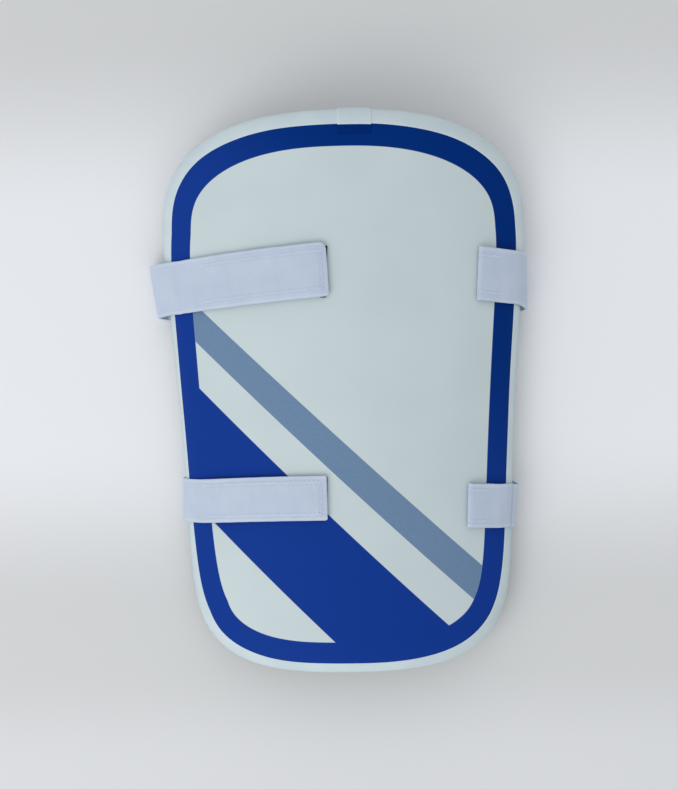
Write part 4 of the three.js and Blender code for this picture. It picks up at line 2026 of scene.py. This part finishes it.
    def loops(self, material: bpy.types.Material) -> bpy.types.Object:
        """Makes the loop patch on the facing, hidden under the hook tape.

        Args:
            material: Its finish.

        Returns:
            The piece.
        """
        return self.layer(
            "loops", lambda share: self.free_end_x - self.loop_inset, self.loop_end_x, self.loop_narrower,
            0.0, lambda x, across: self.gap, self.loop_thickness, material,
        )


@dataclass
class Stitching:
    """Zigzag rows of thread that hold the hook tape and the folded end."""

    strap: Strap
    band: Ribbon
    pitch: float = 0.0015
    amplitude: float = 0.0012
    thread: float = 0.00055
    hole: float = 0.0005

    def template(self) -> tuple[list[Vector], list[tuple[int, ...]]]:
        """Models one stitch, a short rounded piece of thread along x.

        Returns:
            Its points, for a length of 1 and a thickness of 1, and its faces.
        """
        Workshop.deselect()
        lying = (0, math.pi / 2, 0)
        bpy.ops.mesh.primitive_uv_sphere_add(segments=6, ring_count=4, radius=0.5, rotation=lying)
        model = bpy.context.active_object
        bpy.ops.object.transform_apply(location=False, rotation=True, scale=False)
        found = [vertex.co.copy() for vertex in model.data.vertices]
        # The operator's own order changes from run to run, so points and faces are sorted.
        order = sorted(range(len(found)), key=lambda i: [round(part, 6) for part in found[i]])
        rank = {old: new for new, old in enumerate(order)}
        faces = []
        for polygon in model.data.polygons:
            face = tuple(rank[i] for i in polygon.vertices)
            first = face.index(min(face))
            faces.append(face[first:] + face[:first])
        bpy.data.objects.remove(model, do_unlink=True)
        return [found[i] for i in order], sorted(faces)

    def rows(self) -> Iterable[tuple[float, float, float, float]]:
        """Gives both ends of each stitch.

        Returns:
            Distance along and across of its start, and of its end.
        """
        strap = self.strap
        edge = strap.width / 2 - strap.seam_inset
        fold_start = self.band.length - strap.folded_under - strap.fold_seam
        for side in (-1, 1):
            for start, run in ((strap.end_seam, strap.tape_seam), (fold_start, strap.fold_seam)):
                for i in range(int(run / self.pitch)):
                    flip = self.amplitude * (1 if i % 2 else -1)
                    along = start + i * self.pitch
                    yield along, side * edge + flip, along + self.pitch, side * edge - flip
        count = int(2 * edge / self.pitch)
        for i in range(count):
            flip = self.amplitude * (1 if i % 2 else -1)
            across = -edge + i * 2 * edge / count
            yield strap.end_seam + flip, across, strap.end_seam - flip, across + 2 * edge / count

    def build(self, material: bpy.types.Material) -> bpy.types.Object:
        """Lays every stitch, with a dark dimple of painted shade for the hole that it starts from, on the
        strap's outer side.

        Args:
            material: The thread's finish.

        Returns:
            The piece.
        """
        template, template_faces = self.template()
        points: list[Vector] = []
        faces: list[tuple[int, ...]] = []
        holes: list[float] = []
        outside = self.strap.thickness / 2
        for start_along, start_across, end_along, end_across in self.rows():
            start, normal = self.band.at(start_along, start_across)
            end, _ = self.band.at(end_along, end_across)
            reach = end - start
            axis = reach.normalized()
            beside = normal.cross(axis)
            turn = Matrix((axis, beside.normalized(), axis.cross(beside).normalized())).transposed()
            thread = Vector((reach.length * 0.96, self.thread, self.thread * 0.8))
            # A dark dimple at each stitch's start stands for the shade in its needle hole.
            hole_shade_dimple = Vector((self.hole, self.hole, self.thread * 0.5))
            middle = (start + end) / 2 + normal * (outside + self.thread * 0.12)
            for centre, size, dark in ((middle, thread, 0.0), (start + normal * outside, hole_shade_dimple, 1.0)):
                first = len(points)
                sized = [Vector((p.x * size.x, p.y * size.y, p.z * size.z)) for p in template]
                points += [centre + turn @ point for point in sized]
                faces += [tuple(first + i for i in face) for face in template_faces]
                holes += [dark] * len(template)
        piece = Workshop.solid(f"{self.strap.name}_stitching", points, faces)
        chart = piece.data.attributes.new("hole", "FLOAT", "POINT")
        for index, dark in enumerate(holes):
            chart.data[index].value = dark
        Workshop.smooth(piece, 180)
        Workshop.dress(piece, material, "elastic")
        return piece


@dataclass
class Studio:
    """A pale floor painted brighter across its middle as a pool of light, soft light from the lower left
    and the camera over the guard.
    """

    form: GuardForm
    image_height: int = 789
    focal_pixels: float = 1556.3
    sensor: float = 36.0
    distance: float = 1.05
    target: tuple[float, float, float] = (-0.00487, -0.00054, -0.026)
    tilt_right: float = 1.5
    tilt_wide: float = 2.0
    roll: float = -1.389
    floor_size: float = 3.0
    sky_strength: float = 0.805
    sky_fall: float = 0.28
    fall_from: float = 0.25
    key_power: float = 8.4
    key_size: float = 1.2
    key_place: tuple[float, float, float] = (-1.0, -0.9, 1.3)
    floor_pale: tuple[float, ...] = (0.89, 0.89, 0.90, 1.0)
    # Painted dimming for the floor away from its middle.
    floor_painted_dim: tuple[float, ...] = (0.70, 0.70, 0.69, 1.0)

    def camera(self) -> None:
        """Places the camera at the photograph's angle."""
        right_tilt, wide_tilt = math.radians(self.tilt_right), math.radians(self.tilt_wide)
        toward_x, toward_y = math.sin(right_tilt), math.sin(wide_tilt)
        back = Vector((toward_x, toward_y, math.sqrt(1 - toward_x**2 - toward_y**2)))
        right = Vector((0, 1, 0)).cross(back).normalized()
        up = back.cross(right)
        roll = math.radians(self.roll)
        rolled_right = right * math.cos(roll) + up * math.sin(roll)
        rolled_up = up * math.cos(roll) - right * math.sin(roll)
        data = bpy.data.cameras.new("camera")
        data.sensor_width = self.sensor
        data.sensor_fit = "AUTO"
        data.lens = self.focal_pixels * self.sensor / self.image_height
        camera = bpy.data.objects.new("camera", data)
        bpy.context.collection.objects.link(camera)
        turn = Matrix((rolled_right, rolled_up, back)).transposed()
        place = self.form.origin + Vector(self.target) + back * self.distance
        camera.matrix_world = Matrix.Translation(place) @ turn.to_4x4()
        bpy.context.scene.camera = camera

    def floor(self) -> None:
        """Lays the floor, painted a little brighter across its middle as a pool of light."""
        Workshop.deselect()
        bpy.ops.mesh.primitive_plane_add(size=self.floor_size, location=(0, 0, -0.0002))
        floor = bpy.context.active_object
        floor.name = "floor"
        bpy.ops.object.transform_apply(location=True, rotation=False, scale=False)
        graph = Graph("floor")
        _, y, _ = graph.split(graph.place())
        # Painted light: the floor is paler across its middle and dimmer towards its far and near parts.
        far, near = graph.ease(y, 0.12, 0.25), graph.ease(y, -0.15, -0.03, 1.0, 0.0)
        edge = graph.ease(y, -0.26, -0.19, 0.35, 0.0)
        painted_dim = graph.math("SUBTRACT", graph.total(far, near), edge)
        colour = graph.blend(painted_dim, self.floor_pale, self.floor_painted_dim)
        graph.set(Base_Color=colour, Roughness=0.9, Specular_IOR_Level=0.1)
        floor.data.materials.append(graph.material)

    def lamp(self, name: str, place: Vector, size: float, power: float) -> None:
        """Adds a square soft light that points at the guard.

        Args:
            name: The light's name.
            place: Where it hangs.
            size: Its side.
            power: Its power in watts.
        """
        data = bpy.data.lights.new(name, "AREA")
        data.size, data.energy = size, power
        lamp = bpy.data.objects.new(name, data)
        lamp.location = place
        lamp.rotation_euler = (-place).to_track_quat("-Z", "Y").to_euler()
        bpy.context.collection.objects.link(lamp)

    def light(self) -> None:
        """Lights the guard softly, more from the lower left."""
        world = bpy.data.worlds.new("studio")
        world.use_nodes = True
        nodes, links = world.node_tree.nodes, world.node_tree.links
        sky, split = nodes["Background"], nodes.new("ShaderNodeSeparateXYZ")
        fall = nodes.new("ShaderNodeMapRange")
        links.new(nodes.new("ShaderNodeTexCoord").outputs["Generated"], split.inputs[0])
        links.new(split.outputs["X"], fall.inputs["Value"])
        fall.inputs["From Min"].default_value = self.fall_from
        fall.inputs["To Min"].default_value = self.sky_strength
        fall.inputs["To Max"].default_value = self.sky_strength * (1 - self.sky_fall)
        links.new(fall.outputs[0], sky.inputs["Strength"])
        sky.inputs["Color"].default_value = (0.93, 0.96, 1.0, 1.0)
        bpy.context.scene.world = world
        bpy.context.scene.view_settings.view_transform = "Standard"
        self.lamp("key", Vector(self.key_place), self.key_size, self.key_power)

    def build(self) -> None:
        """Sets up the camera, the floor and the lights."""
        self.camera()
        self.floor()
        self.light()


def straps(form: GuardForm) -> list[Strap]:
    """The guard's two straps.

    Args:
        form: What they are laid on.

    Returns:
        The upper and the lower one.
    """
    upper = Strap(
        form, "upper", width=0.0355, free_end_across=-0.0797, free_end_along=0.443,
        fold_across=0.751, fold_along=0.418, fold_slant=0.065,
        left=EdgeTurn(0.3952, 0.0105, 0.008, -0.0018, -0.007),
        right=EdgeTurn(0.4048, 0.0004, 0.0039, -0.004, -0.0075),
        hook_end_inset=0.0115, hook_shift=-0.0019, hook_overhang=(-0.0014, 0.0003), loop_end_inset=0.0315,
        corner_high=0.005, corner_low=0.0022, free_end_slant=0.045, bow=0.0004, seam_inset=0.0056,
    )
    lower = Strap(
        form, "lower", width=0.0296, free_end_across=-0.112, free_end_along=-0.3609,
        fold_across=0.668, fold_along=-0.408, fold_slant=0.04,
        left=EdgeTurn(-0.3781, 0.0003, 0.0026, 0.0, 0.0),
        right=EdgeTurn(-0.4176, 0.0038, 0.0, -0.0024, 0.003),
        hook_end_inset=0.007, hook_shift=0.0, hook_overhang=(-0.0006, 0.0004), loop_end_inset=0.025,
        corner_high=0.0012, corner_low=0.0012, bow=0.0008, seam_inset=0.0043, crease_back=0.0415,
    )
    return [upper, lower]


def main() -> None:
    """Builds the guard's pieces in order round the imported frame."""
    logging.basicConfig(level=logging.INFO, format="%(name)s %(message)s")
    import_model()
    form = GuardForm()
    form.seat(*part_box("edge_binding"))
    Studio(form).build()
    pieces = [Pad(form).build(), Facing(form).build(), Binding(form).build(), Lap(form).build()]
    webbing = WebbingFinish().material("elastic_webbing")
    hook_tape = TapeFinish(dark=srgb(10, 11, 14), light=srgb(44, 46, 52)).material("hook_tape")
    loop_tape = TapeFinish(dark=srgb(176, 184, 198), light=srgb(206, 212, 224)).material("loop_tape")
    thread = ThreadFinish().material()
    for strap in straps(form):
        elastic, band = strap.build(webbing)
        pieces += [elastic, strap.hooks(hook_tape), strap.loops(loop_tape)]
        pieces.append(Stitching(strap, band).build(thread))
    for piece in pieces:
        log.info("%s: %d faces", piece.name, len(piece.data.polygons))


if __name__ == "__main__":
    main()
